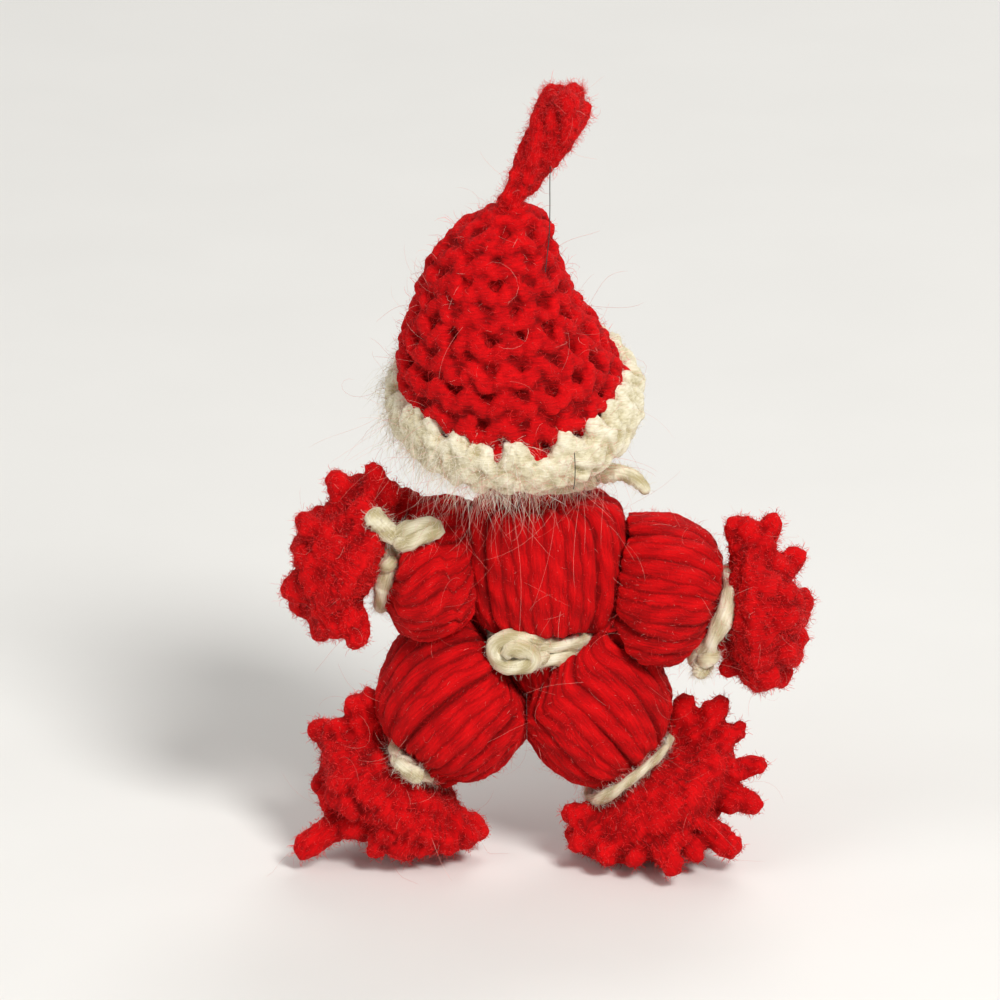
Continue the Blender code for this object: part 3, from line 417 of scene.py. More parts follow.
def yarnMaterial(name, deepColour, midColour, brightColour, sheen, sheenTint, relief):
    # Spun, plied yarn: soft matt fibres that run along the yarn, with painted shade darkening it where the plies and
    # strands meet and painted light lightening their crests
    material, tree, shader = newMaterial(name, 0.88, sheen, sheenTint, shine=0.15)
    lay = addNode(tree, "ShaderNodeUVMap", {"uv_map": "yarnMap"})
    # fibres about 0.03 mm wide are drawn in locks 0.35 mm wide and 3 mm long, as coarse as the render can show
    comb = addNode(tree, "ShaderNodeMapping", values={"Scale": (0.33, 2.8, 1.0), "Rotation": (0, 0, 0.12)},
                   links={"Vector": lay.outputs["UV"]})
    fibres = addNode(tree, "ShaderNodeTexNoise",
                     values={"Scale": 1.0, "Detail": 4.0, "Roughness": 0.6, "Distortion": 0.3},
                     links={"Vector": comb.outputs["Vector"]})
    nap = speckle(tree, 250.0, 3.0, 0.55)  # dye and nap that vary over 4 mm
    groove, shade = (addNode(tree, "ShaderNodeAttribute", {"attribute_name": key}) for key in ("groove", "shade"))
    # tone = 0.55 painted hollow shade + 1.35 fibres + 0.5 nap + 0.2 shade (a random tone per strand) - 0.86
    tone = {2: -0.86}
    for source, share in ((groove, 0.55), (fibres, 1.35), (nap, 0.5), (shade, 0.2)):
        fixed, linked = (tone, {}) if source is groove else ({}, tone)
        mix = addNode(tree, "ShaderNodeMath", {"operation": "MULTIPLY_ADD"}, {1: share, **fixed},
                      {0: source.outputs["Fac"], **linked})
        tone = {2: mix.outputs[0]}
    # the ramp's deep end falls in the painted shade of the hollows and the low fibre streaks, its bright end on the
    # crests' painted light and the high streaks
    ramp = addNode(tree, "ShaderNodeValToRGB", links={"Fac": tone[2]})
    stops = ramp.color_ramp.elements
    stops[0].position, stops[0].color = 0.06, linear(deepColour)
    stops[1].position, stops[1].color = 0.95, linear(brightColour)
    middle = stops.new(0.5)
    middle.color = linear(midColour)
    rough = addNode(tree, "ShaderNodeMapRange", values={"To Min": 0.78, "To Max": 0.98},
                    links={"Value": fibres.outputs["Fac"]})
    specks = speckle(tree, 3300.0, 2.0, 0.7)  # the raised nap, in specks of about 0.3 mm
    height = addNode(tree, "ShaderNodeMath", {"operation": "MULTIPLY_ADD"}, {1: 0.5},
                     {0: specks.outputs["Fac"], 2: fibres.outputs["Fac"]})
    bump = addNode(tree, "ShaderNodeBump", values={"Strength": relief, "Distance": 0.5 * mm},
                   links={"Height": height.outputs[0]})
    tree.links.new(ramp.outputs["Color"], shader.inputs["Base Color"])
    tree.links.new(rough.outputs["Result"], shader.inputs["Roughness"])
    tree.links.new(bump.outputs["Normal"], shader.inputs["Normal"])
    return material


def fibreMaterial(name, darkColour, lightColour, sheen):
    # Single loose fibres, each its own tone, with a soft silky shine
    material, tree, shader = newMaterial(name, 0.6, sheen, shine=0.25)
    shade = addNode(tree, "ShaderNodeAttribute", {"attribute_name": "shade"})
    ramp = addNode(tree, "ShaderNodeValToRGB", links={"Fac": shade.outputs["Fac"]})
    for stop, colour in zip(ramp.color_ramp.elements, (darkColour, lightColour)):
        stop.color = linear(colour)
    tree.links.new(ramp.outputs["Color"], shader.inputs["Base Color"])
    return material


redYarn = yarnMaterial("red worsted yarn, spun and plied", "860002", "b80005", "d8060b", 0.06, "ff5040", 0.7)
redCap = yarnMaterial("red worsted yarn, crocheted", "800002", "b80006", "dc060c", 0.06, "ff5040", 0.8)
creamYarn = yarnMaterial("cream wool yarn, spun and plied", "b8aa80", "ddd3b2", "f4edd6", 0.3, "fff4dc", 0.6)
redFibre = fibreMaterial("red wool fibre, loose", "c00008", "ff2420", 0.1)
paleFibre = fibreMaterial("cream wool fibre, loose", "e0d2ae", "fffaf0", 0.3)
roseFibre = fibreMaterial("pale hair caught on red yarn", "c8544a",
                          "f2b8a8", 0.2)  # thin enough that the red shows through
darkThread = fibreMaterial("black cotton thread", "1c1a1a", "3a3636", 0.0)
redSet, creamSet = [redYarn, redFibre, roseFibre], [creamYarn, paleFibre, roseFibre]
print("materials done")


# Forms that the pieces share with the solids
torsoShape = {
    "strands": 27,
    # height, half width and half depth in mm, from the hips up over the shoulders and in to the neck
    "profile": ((24.8, 1.5, 1.5), (25.8, 3.4, 3.0), (28.0, 4.8, 4.0), (31.0, 5.8, 4.6), (35.2, 6.2, 4.8),
        (35.9, 7.6, 5.9), (36.6, 9.9, 7.5),
        (37.8, 10.9, 8.5), (39.8, 11.6, 9.2), (44.0, 12.2, 9.8), (48.8, 12.2, 9.8), (52.4, 11.7, 9.3),
        (54.5, 10.5, 8.5), (55.5, 8.6, 7.5), (55.3, 6.7, 6.2), (54.4, 5.2, 5.2), (55.8, 4.5, 4.5), (59.0, 4.5, 4.5),
        (61.5, 3.6, 3.6)),
}
# mm and degrees: path ends, headings, radii at the root, swell and tie, and how square the swell is at each end
limbShapes = {
    "arm_right": {"powers": (0.2, 0.38), "start": (9.3, 0, 42.4), "end": (25.0, 0, 37.4), "startSlope": -3,
        "endSlope": -21, "radii": (6.0, 11.4, 5.1), "strands": 28, "depth": (1.5, 0.5)},
    "arm_left": {"powers": (0.2, 0.38), "start": (-9.3, 0, 45.2), "end": (-23.2, 0, 43.3), "startSlope": 182,
        "endSlope": 169, "radii": (6.0, 11.1, 5.1), "strands": 27, "depth": (1.5, 0.5)},
    "leg_right": {"powers": (0.3, 0.42), "start": (1.6, 0, 31.3), "end": (12.1, 0, 13.8), "startSlope": -31,
        "endSlope": -53, "radii": (7.4, 11.2, 6.3), "strands": 27, "depth": (5.4, 0.38)},
    "leg_left": {"powers": (0.3, 0.42), "start": (-6.8, 0, 31.3), "end": (-18.1, 0, 14.8), "startSlope": 210,
        "endSlope": 232, "radii": (7.4, 11.8, 6.3), "strands": 28, "depth": (5.4, 0.38)},
}


def slopeRun(degrees):
    return np.array([math.cos(math.radians(degrees)), 0, math.sin(math.radians(degrees))])


def limbLine(shape, share):
    # The bundle's middle line, its radius up and down, and its radius to front and back: a Bezier path, swelling as a
    # power of the sine of the length share
    start, end = np.array(shape["start"]) * mm, np.array(shape["end"]) * mm
    length = np.linalg.norm(end - start)
    startRun, endRun = slopeRun(shape["startSlope"]), slopeRun(shape["endSlope"])
    line = (start, start + startRun * length / 3, end - endRun * length / 3, end)
    s = np.clip(share, 0, 1)
    middle = bezier(line, s * (1 - 1.5 * mm / length))
    middle = middle + endRun * (np.clip(share - 1, 0, None)[..., None] * length)
    root, full, tied = (r * mm for r in shape["radii"])
    rootPower, tiePower = shape["powers"]

    def grown(root, power):
        swell = np.sin(np.pi * s) ** np.where(s < 0.5, power, tiePower)
        return root + (tied - root) * s + (full - (root + tied) / 2) * swell

    return middle, grown(root, rootPower), grown(shape["depth"][0] * mm, shape["depth"][1])


def torsoDepth(p, grow):
    # How far a point lies inside the torso's form and its tie, above zero inside
    low, tieTop, top = 31.2 * mm, 36.9 * mm, 58 * mm
    profile = np.array(torsoShape["profile"][:14]) * mm
    high, wide, thick = profile[:, 0], profile[:, 1].copy(), profile[:, 2].copy()
    tied = (high > low) & (high < tieTop)
    wide[tied] += 1.6 * mm
    thick[tied] += 2.0 * mm
    w = np.interp(p[..., 2], high, wide, left=0) + grow
    d = np.interp(p[..., 2], high, thick, left=0) + grow
    q = np.sqrt((p[..., 0] / w) ** 2 + (p[..., 1] / d) ** 2)
    inZ = (p[..., 2] > low - grow) & (p[..., 2] < top)
    return np.where(inZ, (1 - q) * np.minimum(w, d), -1.0)


def limbDepth(name):
    middle, radius = limbLine(limbShapes[name], np.linspace(0, 1, 40))[:2]

    def depth(p, grow):
        return (radius + grow - np.linalg.norm(p[..., None, :] - middle, axis=-1)).max(-1)

    return depth


def turned(p, pivot, axis, angle):
    # Rodrigues' turn of the points about an axis through the pivot
    v, axis = p - pivot, unit(np.asarray(axis, float))
    c, s = math.cos(angle), math.sin(angle)
    return pivot + v * c + np.cross(axis, v) * s + axis * (v @ axis)[..., None] * (1 - c)


def keepOff(p, depth, grow, pivot, axis, degrees):
    # Slides points out of a neighbour's form along its gradient, in each of the poses named
    small = 0.05 * mm
    for _ in range(4):
        for angle in degrees:
            q = turned(p, pivot, axis, math.radians(angle))
            inside = depth(q, grow)
            slope = np.stack([depth(q + small * e, grow) - depth(q - small * e, grow) for e in np.eye(3)], -1)
            slope = slope / (2 * small)
            steep = np.maximum(np.linalg.norm(slope, axis=-1, keepdims=True), 0.3)
            push = np.where(inside > 0, inside, 0)[..., None] * slope / steep**2
            q = q - np.where(np.abs(push) < 6 * mm, push, 0)
            p = turned(q, pivot, axis, -math.radians(angle))
    return p


def relaxed(p):  # three-point averages along and round the rings, ends held
    q = p.copy()
    q[1:-1] = (p[:-2] + 2 * p[1:-1] + p[2:]) / 4
    return (np.roll(q, 1, 1) + 2 * q + np.roll(q, -1, 1)) / 4


def finer(p, rows, around):
    # The same rings read at more places, in straight steps between them
    i = np.linspace(0, len(p) - 1 - 1e-9, rows)
    j = np.arange(around) / around * p.shape[1]
    i0, j0 = i.astype(int), j.astype(int)
    f, g = (i - i0)[:, None, None], (j - j0)[:, None]
    j1 = (j0 + 1) % p.shape[1]
    at = lambda i, j: p[i[:, None], j[None]]
    return (at(i0, j0) * (1 - f) + at(i0 + 1, j0) * f) * (1 - g) + (at(i0, j1) * (1 - f) + at(i0 + 1, j1) * f) * g


hips = np.array([0, 0, 31.0]) * mm


def limbRings(name):
    # The bundle's outer rings, from its root to past its tie, where it narrows inside the tassel
    share = np.concatenate([np.linspace(0, 1, 44) ** 1.15, 1 + np.linspace(0.03, 0.17, 6)])
    middle, radius, deep = limbLine(limbShapes[name], share)
    shrink = 1 - 0.6 * blendIn((share - 1.08) / 0.09)
    across = np.cross(unit(np.gradient(middle, axis=0)), axisY)
    angle = turnsOf(72)
    flat = across[:, None] * (np.cos(angle) * (radius * shrink)[:, None])[..., None]
    return middle[:, None] + flat + axisY * (np.sin(angle) * (deep * shrink)[:, None])[..., None]


def bodyFuzz(name, skin, body, seed, pale=40):
    makePiece(name, [
        growHairs(skin, 2500, (0.3, 1.4), seed, steps=4),
        growHairs(skin, 200, (1.2, 3.0), seed + 1, thick=0.035, bend=0.5),
        growHairs(skin, 650, (0.4, 1.3), seed + 2, away=0.22, lean=1.2, slot=2, thick=0.035, steps=4),
        growHairs(skin, pale,
                  (3, 13), seed + 3, away=0.28, lean=0.9, spread=0.6, bend=0.5, slot=2, thick=0.032, steps=9),
    ], body, redSet)


# Torso: strands from the neck over the shoulders and down into the waist
line = smoothCurve(np.array(torsoShape["profile"]) * mm, 118)[::-1]
angle = turnsOf(264)
rings = np.stack([line[:, 1:2] * np.cos(angle), line[:, 2:] * np.sin(angle), line[:, :1] + 0 * angle], -1)
torsoSkin = bundleSkin(rings, torsoShape["strands"], 3)
makePiece("torso_yarn", [torsoSkin], "torso", redSet, ["torso_hank", "arm_hank_core"])
bodyFuzz("torso_fuzz", torsoSkin, "torso", 31, pale=90)
print("torso done")


# Legs and arms: bundles that swell between the body and their ties, pressed off their neighbours
sides = (("right", 1), ("left", -1))
legPoses, armPoses = (-10, 0, 10), (0, 3)  # degrees of swing and raise in which they are pressed off
legPlane = -2.6 * mm  # where the legs press on each other
legDepth = {side: limbDepth(f"leg_{side}") for side, hand in sides}
for side, hand in sides:
    name = f"leg_{side}"
    rings = keepOff(limbRings(name), torsoDepth, 0.2 * mm, hips, axisX, legPoses)
    rings[..., 0] = hand * np.maximum(hand * rings[..., 0], hand * legPlane - 1.5 * mm)
    skin = bundleSkin(finer(relaxed(rings), 100, 264), limbShapes[name]["strands"], 40 + hand, twist=0.1 * hand)
    x = skin["verts"][:, 0]
    x[:] = hand * np.maximum(hand * x, hand * legPlane + 0.01 * mm)
    makePiece(f"{name}_yarn", [skin], name, redSet, [name])
    bodyFuzz(f"{name}_fuzz", skin, name, 46 + 3 * hand)

for side, hand in sides:
    name = f"arm_{side}"
    hub = np.array(limbShapes[name]["start"]) * mm
    rings = keepOff(limbRings(name), torsoDepth, 0.1 * mm, hub, -hand * axisY, armPoses)
    rings = keepOff(rings, legDepth[side], 0.3 * mm, hips, axisX, legPoses)
    skin = bundleSkin(finer(relaxed(rings), 92, 264), limbShapes[name]["strands"], 60 + hand)
    makePiece(f"{name}_yarn", [skin], name, redSet, [name])
    bodyFuzz(f"{name}_fuzz", skin, name, 66 + 3 * hand, pale=45)
print("limbs done")


# Hands and feet: the bundle's cut ends past the tie, fanned out over a dome and felted together
tasselShapes = {  # millimetres, degrees; tips are the ends of strands that stand out from the rest
    "hand_right": {"joint": (25.0, 0, 37.4), "tie": 5.6, "slope": 3, "length": 11.6, "radius": 11.6, "count": 38,
        "seed": 81, "tips": (
        (29.5, -1, 53.0), (33.6, 0, 53.0), (37.6, -1, 47.5), (39.2, -2, 40.5), (31.0, -4, 27.4), (26.5, -3, 28.6),
        (25.6, -3.4, 32.2))},
    "hand_left": {"joint": (-23.2, 0, 43.3), "tie": 5.6, "slope": 150, "length": 12.6, "radius": 11.0, "count": 40,
        "seed": 82, "tips": (
        (-24.6, -4.0, 62.2), (-22.2, -3.8, 59.4), (-30.6, -1, 60.0), (-27.4, -8.4, 35.0), (-31.2, -7.2, 36.6),
        (-28.9, -8.0, 37.5), (-36.4, -3, 41.4))},
    "foot_right": {"joint": (12.1, 0, 13.8), "tie": 6.9, "slope": -53, "length": 14.6, "radius": 13.2, "count": 40,
        "seed": 83, "tips": (
        (32.8, -3, 15.0), (31.8, -6, 9.8), (28.6, -9, 3.2), (23.0, -10.5, 2.2), (19.0, -15.4, 2.0), (13.2, -12.4, 2.0),
        (8.0, -11.4, 2.0), (4.2, -8.8, 3.6), (2.6, -6, 7.2), (21.4, 1, 24.6), (26.8, 0, 24.2), (29.6, -1, 20.2))},
    "foot_left": {"joint": (-18.1, 0, 14.8), "tie": 6.9, "slope": 232, "length": 13.4, "radius": 12.8, "count": 38,
        "seed": 84, "tips": (
        (-28.8, 0, 24.6), (-26.2, 1, 25.4), (-32.2, 0, 20.4), (-31.6, -4, 12.8), (-36.6, -7.4, 2.2),
        (-25.4, -9.4, 2.4), (-21.6, -9.8, 2.2), (-17.4, -9.0, 2.4), (-13.2, -8.0, 2.6), (-9.8, -6, 3.2))},
}
goldenAngle = 2.39996  # radians
# the dome's outline: share of the length along the tassel, and of the radius out
tasselDome = np.array(((1.0, 0.0), (0.97, 0.40), (0.88, 0.74), (0.68, 1.0), (0.42, 1.13), (0.14, 1.1)))


def tasselStrands(shape, stands):
    # Strands from the tie to the dome's area, evenly, by the golden angle, and on to the named tips
    rng = np.random.default_rng(shape["seed"])
    n, share = shape["count"], np.linspace(0, 1, 18)
    joint, run = np.array(shape["joint"]) * mm, slopeRun(shape["slope"])
    side = np.cross(run, axisY)
    dome = smoothCurve(tasselDome * (shape["length"], shape["radius"]) * mm, 60)
    turn = np.arange(n) * goldenAngle + rng.normal(0, 0.16, n)
    ringArea = np.cumsum(dome[:, 1]) / dome[:, 1].sum()
    at = np.clip(np.interp((np.arange(n) + 0.5) / n, ringArea, np.arange(60)) + rng.normal(0, 1.2, n), 0, 58.9)
    at = at * (1 - 0.42 * np.abs(np.sin(turn)) ** 1.5)
    i, f = at.astype(int), (at % 1)[:, None]
    spot = dome[i] * (1 - f) + dome[i + 1] * f
    edge = unit(dome[i + 1] - dome[i])
    normal = np.stack([edge[:, 1], -edge[:, 0]], 1)
    way = swing(side, axisY, turn)
    # the fan is flat from front to back: there the strands lie along it and end close to it
    flat = np.abs(np.sin(turn))[:, None] * normal[:, 1:]
    lean = unit(normal * 0.8 + np.array([0.45, 0.0]) + flat * np.array([0.9, -0.3]))
    tip = (spot + lean * rng.uniform(0.2, 2.8, (n, 1)) * (1 - 0.9 * flat) * mm) * (1 - flat * np.array([0, 0.24]))
    tip = joint + run * tip[:, :1] + way * tip[:, 1:] + rng.normal(0, 0.6, (n, 3)) * mm
    tip = np.concatenate([tip, np.array(shape["tips"]) * mm])
    # each leaves the tie's edge along the run, and bends out to its tip
    out = unit(tip - joint)
    out = unit(out - 0.35 * run * (out @ run)[:, None])
    root = joint + run * 3.0 * mm + out * (shape["tie"] - 2.4) * mm
    reach = np.linalg.norm(tip - root, axis=1)[:, None]
    line = (root, root + unit(out + 0.5 * run) * reach * 0.36, tip - unit(tip - joint) * reach * 0.34, tip)
    paths = bezier(line, share)
    if stands:  # below 5 mm the strands level out, to no less than 1.8 mm
        z, low, soft = paths[..., 2], 5 * mm, 3.2 * mm
        paths[..., 2] = np.where(z < low, low - soft * (1 - np.exp(-(low - z) / soft)), z)
    size = np.concatenate([rng.uniform(1.7, 2.4, (n, 1)), rng.uniform(1.6, 2.1, (len(shape["tips"]), 1))]) * mm
    size = size * (0.95 + 0.14 * blendIn((share - 0.2) / 0.6) - 0.3 * share**5)
    return paths, size, (joint, run, side, dome)


def tasselPiece(name):
    shape = tasselShapes[name]
    seed = shape["seed"]
    paths, size, (joint, run, side, dome) = tasselStrands(shape, name.startswith("foot"))
    facing = np.cross(paths[:, -1:] - paths[:, :1], (0.3, 0.7, 0.5))
    parts = [yarnTubes(paths, facing, size, ply=0.05, pitch=10, sides=10, roundEnd=0.9, seed=seed + 10)]
    angle = turnsOf(28)
    tie = shape["tie"] * mm
    # under the strands: the squeezed bundle beside the tie, opening to the dome
    squeezed = [[1.9 * mm, tie * 0.5], [1.6 * mm, tie + 0.5 * mm], [2.2 * mm, tie + 1.9 * mm],
                [3.4 * mm, shape["radius"] * 0.8 * mm]]
    inner = np.concatenate([squeezed, (dome * (0.9, 0.93))[::-1][12:]])
    shell = joint + run * inner[:, None, :1] + swing(side, axisY * 0.88, angle) * inner[:, None, 1:]
    shell[..., 2] = np.maximum(shell[..., 2], 1.2 * mm)
    parts.append(closedSkin(shell))

    def mapTo(p):  # fibres run away from the tie
        v = p - joint
        turn = np.arctan2(v @ axisY, v @ side)
        return np.stack([np.linalg.norm(v, axis=-1) / mm, turn * 11.0], -1)

    skin = fusedSkin(parts, 0.42, 4, seed + 30, mapTo, lumps=((1.2, 0.12), (3.2, 0.22)), floorAt=0.0)
    skin["runs"] = unit(skin["roots"] - joint)
    makePiece(f"{name}_yarn", [skin], name, redSet, [name])
    makePiece(f"{name}_fuzz", [
        growHairs(skin, 8200, (0.4, 1.4), seed + 20, lean=0.6, spread=0.7, steps=4, thick=0.085, curl=0.2, bend=0.5),
        growHairs(skin, 600, (1.0, 2.4), seed + 21, spread=0.7, thick=0.04, curl=0.15, bend=0.5),
        growHairs(skin, 500, (0.4, 1.4), seed + 23, away=0.3, spread=0.9, slot=2, thick=0.03, steps=4),
        growHairs(skin, 36, (4, 12), seed + 22, away=0.3, spread=0.8, bend=0.6, slot=2, thick=0.032, steps=9),
    ], name, redSet)


for name in tasselShapes:
    tasselPiece(name)
print("tassels done")


# Ties: a plied cream yarn round each groove, knotted at the back, with its loose ends
# centre, axis slope in degrees, half sizes of the groove, turns, knot's place in degrees,
# and loose ends in mm from the knot
tieShapes = {
    "waist_tie": {"fuzz": 1.5, "centre": (0, 0, 34.4), "slope": 90, "half": (5.9, 4.5), "turns": 2, "knot": -118,
        "body": "torso", "seed": 101, "strand": 1.22,
        "ends": (((3.8, -0.5, 1.1), (1.4, -1.2, 1.9), (-1.0, -1.6, 2.2), (-2.9, -1.6, 1.6),
        (-3.6, -1.5, 0.0), (-2.9, -1.6, -1.6),
        (-1.0, -1.9, -2.2), (1.1, -2.0, -1.9), (2.1, -2.0, -0.7), (1.2, -2.3, 0.5),
        (-0.5, -2.4, 0.7), (-1.5, -2.3, 0.0), (-0.7, -2.4, -0.6)),
        ((-1.0, -0.9, -1.6), (1.2, -1.0, -1.7), (3.2, -0.7, -1.3), (4.6, -0.4, -1.1)))},
    "ankle_tie_right": {"centre": (12.1, 0, 13.8), "slope": -53, "half": (5.9, 5.9), "turns": 1, "knot": 110,
        "body": "leg_right", "seed": 102, "strand": 0.9, "worn": 0.3, "fuzz": 1.9, "ends": ()},
    "ankle_tie_left": {"centre": (-18.1, 0, 14.8), "slope": 232, "half": (5.4, 5.4), "turns": 1, "knot": -112,
        "body": "leg_left", "strand": 0.85,
        "seed": 103, "worn": 0.3, "sink": 2.4, "fuzz": 1.8, "ends": (((-1.3, -1.2, 1.3), (0.1, -2.0, 0.3),
        (1.5, -1.9, -0.8), (2.4, -1.4, -1.7)),), "thick": 1.3},
    "wrist_tie_right": {"centre": (25.0, 0, 37.4), "slope": -19, "half": (4.7, 4.7), "turns": 1, "knot": -150,
        "body": "arm_right", "seed": 104, "strand": 1.36, "ends": (((0.2, -0.9, 0.2), (-0.4, -1.5, -1.2),
        (-0.6, -1.7, -2.6)),)},
    "wrist_tie_left": {"centre": (-23.2, 0, 43.3), "slope": 169, "half": (4.7, 4.7), "turns": 1, "knot": -140,
        "body": "arm_left", "strand": 1.2,
        "seed": 105, "sink": 1.7, "worn": 0.25, "ends": (((-0.2, -1.6, 2.6), (2.4, -2.6, 4.7),
        (4.8, -2.9, 5.3), (6.6, -3.1, 4.9), (5.4, -3.5, 4.3), (3.2, -3.4, 3.3), (0.4, -2.4, 2.0)),
        ((0.8, -1.6, 2.4), (-0.6, -2.2, 4.2), (-1.9, -2.4, 5.8), (-3.2, -2.3, 7.4)))},
    "neck_tie": {"centre": (0, 0, 59.0), "slope": 90, "half": (4.4, 4.4), "turns": 1, "knot": -12, "body": "neck",
        "seed": 106, "strand": 1.1, "ends": (((0.8, -0.3, 0.0), (3.0, -0.6, 0.9), (5.3, -1.2, 0.9), (7.2, -1.7, -0.2),
        (8.5, -2.0, -1.9)),)},
}


def tiePieces(name):
    shape = tieShapes[name]
    axis, centre = slopeRun(shape["slope"]), np.array(shape["centre"]) * mm
    across = axisX if shape["slope"] == 90 else unit(np.cross(axis, axisY))
    reach = (np.array(shape["half"]) + 0.3 + 1.25) * mm
    knotAt, strand, seed = math.radians(shape["knot"]), shape["strand"] * mm, shape["seed"]
    worn, sink, more = shape.get("worn", 0.0), shape.get("sink", 0.0), shape.get("fuzz", 1.0)
    turns = shape["turns"]
    plied = {"ply": 0.08, "sides": 14, "fluff": 0.06}
    t = np.linspace(0.012, 1 - 0.012, 80 * turns)
    turn = knotAt + t * turns * tau
    climb = (blendIn((t * turns % 1 - 0.8) / 0.2) + np.floor(t * turns) - 0.75) * 2.2 * mm * (turns > 1)
    slack = 1 + 0.02 * np.sin(turn * 3 + seed)
    slack = slack - sink * mm / reach[0] * blendIn((1 - np.cos(turn - knotAt)) / 0.4)
    ringPath = centre + swing(across * reach[0], axisY * reach[1], turn) * slack[:, None]
    ringPath = ringPath + axis * (climb + 0.25 * mm * np.sin(turn * 2 + seed))[:, None]
    # where a tie is worn, it thins away from the middle of what shows
    pinch = (1 - 0.1 * np.cos(turn * 5 + seed)) * (1 - worn * (0.5 + 0.5 * np.cos(2 * (turn - math.radians(150)))))
    size = strand * pinch[None]
    parts = [yarnTubes(ringPath[None], swing(across, axisY, turn)[None], size, 0.92 * size, seed=seed, **plied)]
    outWay = across * math.cos(knotAt) + axisY * math.sin(knotAt)
    sideways = unit(np.cross(axis, outWay))
    middle = centre + across * reach[0] * math.cos(knotAt) + axisY * reach[1] * math.sin(knotAt) + outWay * 0.6 * mm
    # the knot: a trefoil, sin t + 2 sin 2t across, cos t - 2 cos 2t up, -sin 3t out, squeezed flat on the tie
    t = np.linspace(0.2, tau - 0.2, 64)
    tall = 0.78 if turns == 1 else 1.0
    knot = (sideways * ((np.sin(t) + 2 * np.sin(2 * t)) * 0.8)[:, None]
            + axis * ((np.cos(t) - 2 * np.cos(2 * t)) * 0.42 * tall)[:, None]
            + outWay * (-np.sin(3 * t) * 0.55)[:, None]) * mm * strand / (1.1 * mm)
    parts.append(yarnTubes(
        (middle + knot)[None], outWay, 0.86 * strand, 0.8 * strand, ply=0.08, pitch=8, sides=10, seed=seed + 1))
    t = np.linspace(0, 1, 44)
    for number, end in enumerate(shape["ends"]):
        line = middle + smoothCurve(np.array(end) * mm, 44)
        taper = strand * (1.0 + 0.12 * t**2) * shape.get("thick", 1.0)
        if name == "wrist_tie_left" and number:
            taper = strand * (1.0 + 0.5 * t)
        if name == "neck_tie":
            taper = strand * (1.25 - 0.5 * t**2)
        facing = axisY if name == "neck_tie" else outWay
        parts.append(yarnTubes(
            line[None], facing, taper[None], 0.9 * taper[None], roundEnd=1.1, seed=seed + 2 + number, **plied))
    makePiece(f"{name}_yarn", parts, shape["body"], creamSet, [name])
    counts = [int(1100 * more)] + [520] * (len(parts) - 1)
    fuzz = [growHairs(part, count, (0.4, 1.8), seed + 7 + i, steps=4, spread=0.8, bend=0.6)
            for i, (part, count) in enumerate(zip(parts, counts))]
    fuzz += [growHairs(part, count, (1.0, 5.0), seed + 15 + i, slot=2, thick=0.032, spread=0.9, bend=0.7, steps=7)
             for i, (part, count) in enumerate(zip(parts, (int(240 * more), 160)))]
    makePiece(f"{name}_fuzz", fuzz, shape["body"], creamSet)


for name in tieShapes:
    tiePieces(name)
print("ties done")


# Crocheted cap: rows of V stitches over a shell, its chunky cream edge, and the tail at its tip
capShape = {
    "brim": (-4.3, 0, 71.1), "leanLow": (-5.8, -4.5, 81.0), "leanHigh": (-10.4, -6.0, 92.0),
    "tip": (-4.4, -5.0, 100.4),
    "tilt": 23, "radius": 16.6, "wall": 2.6, "rows": 9, "stitch": 5.0,
    "shares": ((0, 1), (0.28, 0.87), (0.53, 0.67), (0.73, 0.54), (0.91, 0.38), (1, 0.13)),
}


def capFrame(share):
    line = [np.array(capShape[key]) * mm for key in ("brim", "leanLow", "leanHigh", "tip")]
    share = np.asarray(share, float)
    inside = np.clip(share, 0, 1)
    tilt = math.radians(capShape["tilt"]) * (1 - inside) ** 1.5
    depthWay = np.stack([np.zeros_like(tilt), np.cos(tilt), np.sin(tilt)], -1)
    middle = bezier(line, inside)
    normal = np.cross(axisX, depthWay)
    middle = middle + normal * (np.minimum(share, 0) * 32 * mm)[..., None]
    fine = smoothCurve(capShape["shares"], 200)
    radius = np.interp(inside, fine[:, 0], fine[:, 1]) * capShape["radius"] * mm
    return middle, depthWay, normal, radius


def capPoint(share, turn, proud):
    # A point on the cap's wall: the tilted ring at a height share, at a turn about it, so far out from the wall
    share, turn = np.broadcast_arrays(share, turn)
    middle, depthWay, normal, radius = capFrame(share)
    way = swing(axisX, depthWay, turn)
    return middle + way * (radius + proud)[..., None], way


capLength = 32.5 * mm
legs, legWays, ropes, ropeWays = [], [], [], []
rng = np.random.default_rng(131)
rowEdges = np.linspace(0.0, 0.97, capShape["rows"] + 1)
for row in range(capShape["rows"]):
    low, high = rowEdges[row], rowEdges[row + 1]
    radius = capFrame(np.array((low + high) / 2))[3]
    count = max(5, int(round(tau * radius / (capShape["stitch"] * mm))))
    base = (np.arange(count) + 0.5 * (row % 2) + rng.uniform(-0.12, 0.12, count)) / count * tau
    t = np.linspace(0, 1, 8)
    for lean in (-1, 1):
        turn = base[:, None] + lean * (0.06 + 0.52 * blendIn(t * 1.1)) / count * tau
        share = low + (high - low) * (-0.12 + 1.12 * t[None]) + rng.normal(0, 0.006, (count, 1))
        bulge = (0.8 * np.sin(np.pi * np.clip(t, 0, 1)) ** 0.8 - 0.8 * t**3 - 1.1) * mm
        point, way = capPoint(share, turn, bulge[None] + rng.normal(0, 0.12, (count, 1)) * mm)
        legs.append(point)
        legWays.append(way)
    turn = np.linspace(0, tau, 150) + row
    # the row's top hangs in arcs between its stitches
    droop = np.abs(np.sin(turn * count * 0.5 + 0.4 * np.sin(turn * 2 + row))) ** 0.8
    wave = (0.8 - 1.5 * droop + 0.35 * np.sin(turn * 3 + row)) * mm / capLength
    point, way = capPoint(high + wave, turn, (0.4 * droop - 2.0) * mm)
    ropes.append(point)
    ropeWays.append(way)
legs, legWays = np.concatenate(legs), np.concatenate(legWays)
t = np.linspace(0, 1, 8)
